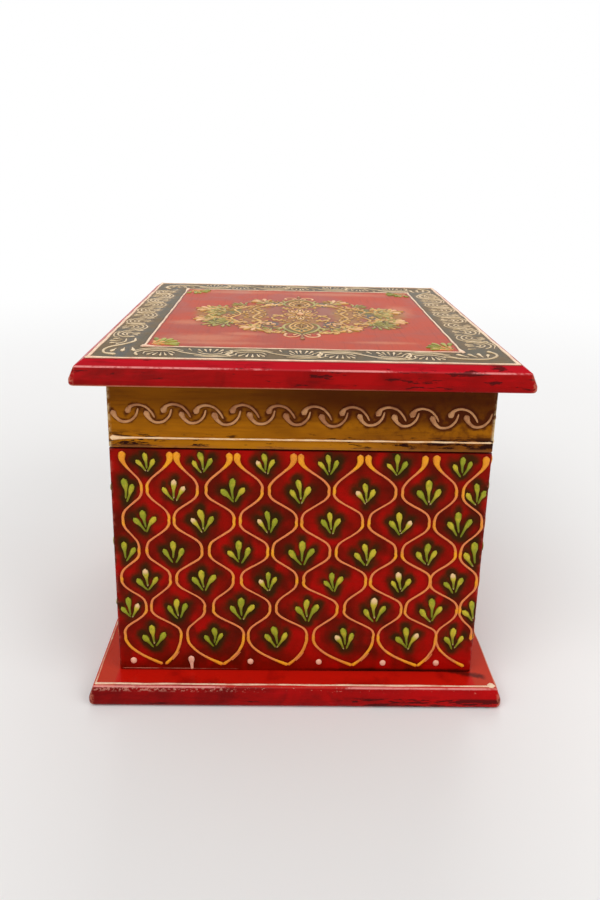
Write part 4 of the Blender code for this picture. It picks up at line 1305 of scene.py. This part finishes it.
def boardFinish(name, paint, deep, wood):
    board = Finish(name, specular=0.2)
    grain = board.noise(0.6, 4, 0.6, 1.5, stretch=(0.05, 0.05, 1.2))
    cloud = board.noise(0.06, 4, 0.65)
    board.ground(board.ramp(cloud, 0.3, 0.7), deep, paint)
    worn = board.ramp(board.noise(0.28, 5, 0.7), 0.62, 0.7)
    darkWood = seen(wood[0] * 0.6, wood[1] * 0.55, wood[2] * 0.5)
    board.colour = board.mix(worn * 0.7, board.colour, board.mix(grain, seen(*wood), darkWood))
    return board.done(cloud, (0.45, 0.65), grain, 0.15)


redBoards = boardFinish("redBoardPaint", (132, 10, 8), (102, 9, 6), (170, 112, 70))
goldBoards = boardFinish("goldBoardPaint", (140, 92, 16), (112, 68, 10), (176, 128, 78))
dress(("front_wall", "back_wall", "left_wall", "right_wall"), redBoards)
dress(("lid_frame",), goldBoards)


# Metal

def metalFinish(name, light, deep, stain, roughness):
    metal = Finish(name, metal=1.0)
    cloud = metal.noise(0.15, 3, 0.6)
    brushed = metal.noise(1.2, 2, stretch=(0.1, 3.0, 3.0))
    metal.ground(metal.ramp(cloud, 0.3, 0.7), deep, light)
    metal.cover(metal.ramp(metal.noise(0.9, 4), 0.6, 0.74) * 0.5, *stain)
    return metal.done(cloud, (roughness + 0.12, roughness), brushed, 0.006)


brass = metalFinish("brass", (232, 196, 118), (206, 162, 84), (120, 84, 44), 0.24)
screwBrass = metalFinish("screwBrass", (206, 162, 92), (168, 122, 64), (84, 60, 34), 0.34)
steel = metalFinish("steel", (196, 194, 190), (164, 162, 160), (104, 92, 82), 0.28)
for side in ("left", "right"):
    dress((side + "_hinge_body_leaf", side + "_hinge_lid_leaf"), brass)
    dress((side + "_hinge_pin",), steel)
dress(("wall_pin", "lid_frame_pin"), steel)

screws = {
    "headSlotWidth": 0.24, "headSlotDepth": 0.3,      # as shares of the head's radius
    "sides": 20,
}


def screwObject(headRadius, shankRadius, length, headUp):
    builder = bmesh.new()
    profile = [(0, 0.06), (headRadius * 0.8, 0.04), (headRadius - 0.05, 0), (headRadius, -0.1),
               (shankRadius, shankRadius - headRadius - 0.1), (shankRadius, 2.4 * shankRadius - length)]
    profile += [(0.2 * shankRadius, -length), (0, -length)]
    points = [builder.verts.new((r, 0, z)) for r, z in profile]
    lines = [builder.edges.new(pair) for pair in zip(points, points[1:])]
    bmesh.ops.spin(builder, geom=points + lines, axis=(0, 0, 1), cent=(0, 0, 0), angle=math.tau,
                   steps=screws["sides"])
    bmesh.ops.remove_doubles(builder, verts=builder.verts, dist=0.001)
    bmesh.ops.recalc_face_normals(builder, faces=builder.faces)
    whole = addObject("screw", meshOf(builder, "screw"))
    slotBuilder = bmesh.new()
    width, depth = headRadius * screws["headSlotWidth"], headRadius * screws["headSlotDepth"]
    bmesh.ops.create_cube(slotBuilder, size=1.0,
                          matrix=Matrix.Diagonal((3 * headRadius, width, 2 * depth, 1.0)))
    slot = addObject("slot", meshOf(slotBuilder, "slot"))
    cut = whole.modifiers.new("slot", "BOOLEAN")
    cut.operation, cut.solver, cut.object = "DIFFERENCE", "EXACT", slot
    cutMesh = evaluatedMesh(whole)
    for old in (whole, slot):
        bpy.data.objects.remove(old)
    cutMesh.shade_smooth()
    cutMesh.set_sharp_from_angle(angle=math.radians(30))
    if not headUp:
        cutMesh.transform(Matrix.Rotation(math.pi, 4, "X"))
    cutMesh.transform(Matrix.Scale(mm, 4))
    return addObject("screw", cutMesh)


def makeScrewTree():
    graph, take = startTree("screwRow", (("Screw", "Object"), ("Seed", "Int"), ("Metal", "Material")))
    shape = graph.add("GeometryNodeObjectInfo", None, {"Object": take["Screw"]}, "Geometry")
    turn = graph.add("FunctionNodeRandomValue", {"data_type": "FLOAT"},
                     {"Max_001": math.tau, "Seed": take["Seed"]}, 1)
    spin = graph.add("ShaderNodeCombineXYZ", None, {2: turn})
    mesh = graph.add("GeometryNodeInstanceOnPoints", None,
                     {"Points": take["Geometry"], "Instance": shape, "Rotation": spin})
    return endTree(graph, mesh, take["Metal"])


screwTree = makeScrewTree()


def screwRow(name, nodes, shankRadius, headUp, metal, body, slot, seed):
    places = []
    for node in nodes:
        low, high = boxMm(node)
        head = high if headUp else low
        places.append(((low.x + high.x) / 2 * mm, (low.y + high.y) / 2 * mm, head.z * mm))
    pattern = screwObject((high.x - low.x) / 2, shankRadius, high.z - low.z, headUp)
    points = bpy.data.meshes.new("places")
    points.from_pydata(places, [], [])
    mesh = runTree(addObject("places", points), screwTree, {"Screw": pattern, "Seed": seed, "Metal": metal})
    bpy.data.objects.remove(pattern)
    piece = settle(addObject(name, mesh, metal), body, slot)
    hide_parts(*nodes)


def leafScrews(body):
    return ["%s_%s_leaf_screw_%d" % (side, body, n) for side in ("left", "right") for n in (1, 2)]


screwRow("body_leaf_screws", leafScrews("body"), 0.7, True, screwBrass, "box", "brass", 3)
screwRow("lid_leaf_screws", leafScrews("lid"), 0.7, False, screwBrass, "lid", "brass", 4)
screwRow("base_screws", ["base_screw_%d" % n for n in (1, 2, 3, 4)], 1.4, False, steel, "box", "steel", 5)
print("metal fitted")


# Velvet linings: cloth over thin padded card, full in the middle and round at the rims

padding = {
    "spacing": 2.2, "ripple": 0.12,
    "rounding": 0.7,      # of the rims, as a share of the thickness
    "colour": (112, 14, 24), "deep": (86, 9, 18), "glow": (168, 44, 58),
}


def velvetFinish():
    cloth = Finish("velvet", specular=0.05, sheen=0.35)
    cloth.fix({"Sheen Roughness": 0.4, "Sheen Tint": seen(*padding["glow"])})
    brushed = cloth.noise(0.05, 4, 0.65, 0.3, stretch=(0.6, 0.6, 0.9))
    pile = cloth.noise(4.0, 2, 0.6)
    cloth.ground(cloth.ramp(brushed, 0.34, 0.68), padding["deep"], padding["colour"])
    cloth.cover(cloth.ramp(pile, 0.5, 0.8) * 0.4, *padding["glow"])
    return cloth.done(brushed, (0.82, 0.95), pile, 0.18)


velvet = velvetFinish()


def softStops(length, rounding):      # places along one side, close together at the round rims
    rim = [rounding * (1 - math.cos(math.radians(angle))) for angle in (0, 25, 48, 70, 90)]
    count = max(2, round((length - 2 * rounding) / padding["spacing"]))
    inner = [rounding + (length - 2 * rounding) * n / count for n in range(1, count)]
    return rim + inner + [length - x for x in reversed(rim)]


def paddedLining(node, facing, crown, body, fill, seed):
    low, high = boxMm(node)
    out = Vector(facing)
    right = Vector((0, 1, 0)) if facing[0] else Vector((1, 0, 0))
    up = out.cross(right)
    size = high - low
    width, height, thick = (abs(size.dot(axis)) for axis in (right, up, out))
    middle = (low + high) / 2
    rounding = thick * padding["rounding"]
    across, along = softStops(width, rounding), softStops(height, rounding)

    def bulge(distance):
        return math.sqrt(max(0.0, 1 - (1 - min(distance / rounding, 1)) ** 2))

    def spot(u, v, lift):
        return (middle + right * (u - width / 2) + up * (v - height / 2) + out * lift) * mm

    def lifted(u, v):
        full = min(bulge(min(u, width - u)), bulge(min(v, height - v)))
        a, b = 2 * u / width - 1, 2 * v / height - 1
        lift = thick / 2 * full + crown * (1 - abs(a) ** 3) * (1 - abs(b) ** 3) * 0.6
        return spot(u, v, lift + padding["ripple"] * full * noiseAt(Vector((u * 0.11, v * 0.11, seed))))

    rim, faces = closedGrid(len(across), len(along))
    front = [lifted(u, v) for v in along for u in across]
    back = []
    for c, r in rim:
        u = min(max(across[c], rounding), width - rounding)
        v = min(max(along[r], rounding), height - rounding)
        back.append(spot(u, v, -thick / 2))
    mesh = bpy.data.meshes.new(node)
    mesh.from_pydata(front + back, [], faces)
    builder = bmesh.new()
    builder.from_mesh(mesh)
    bmesh.ops.remove_doubles(builder, verts=builder.verts, dist=0.001 * mm)
    bmesh.ops.recalc_face_normals(builder, faces=builder.faces)
    builder.to_mesh(mesh)
    builder.free()
    mesh.shade_smooth()
    piece = settle(addObject(node.replace("lining", "velvet"), mesh, velvet), body, "velvet")
    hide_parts(node)


# node, facing, height of the crown, body and fill
linings = [("floor_lining", (0, 0, 1), 1.0, "box", 0.5), ("lid_lining", (0, 0, -1), 0.9, "lid", 0.5)]
for start, end, body in (("", "_wall_lining", "box"), ("lid_", "_lining", "lid")):
    for side, facing in (("front", (0, 1, 0)), ("back", (0, -1, 0)),
                         ("left", (1, 0, 0)), ("right", (-1, 0, 0))):
        linings.append((start + side + end, facing, 0.5, body, 0.35))
for number, (node, facing, crown, body, fill) in enumerate(linings):
    paddedLining(node, facing, crown, body, fill, 3.0 * number)
print("linings fitted")
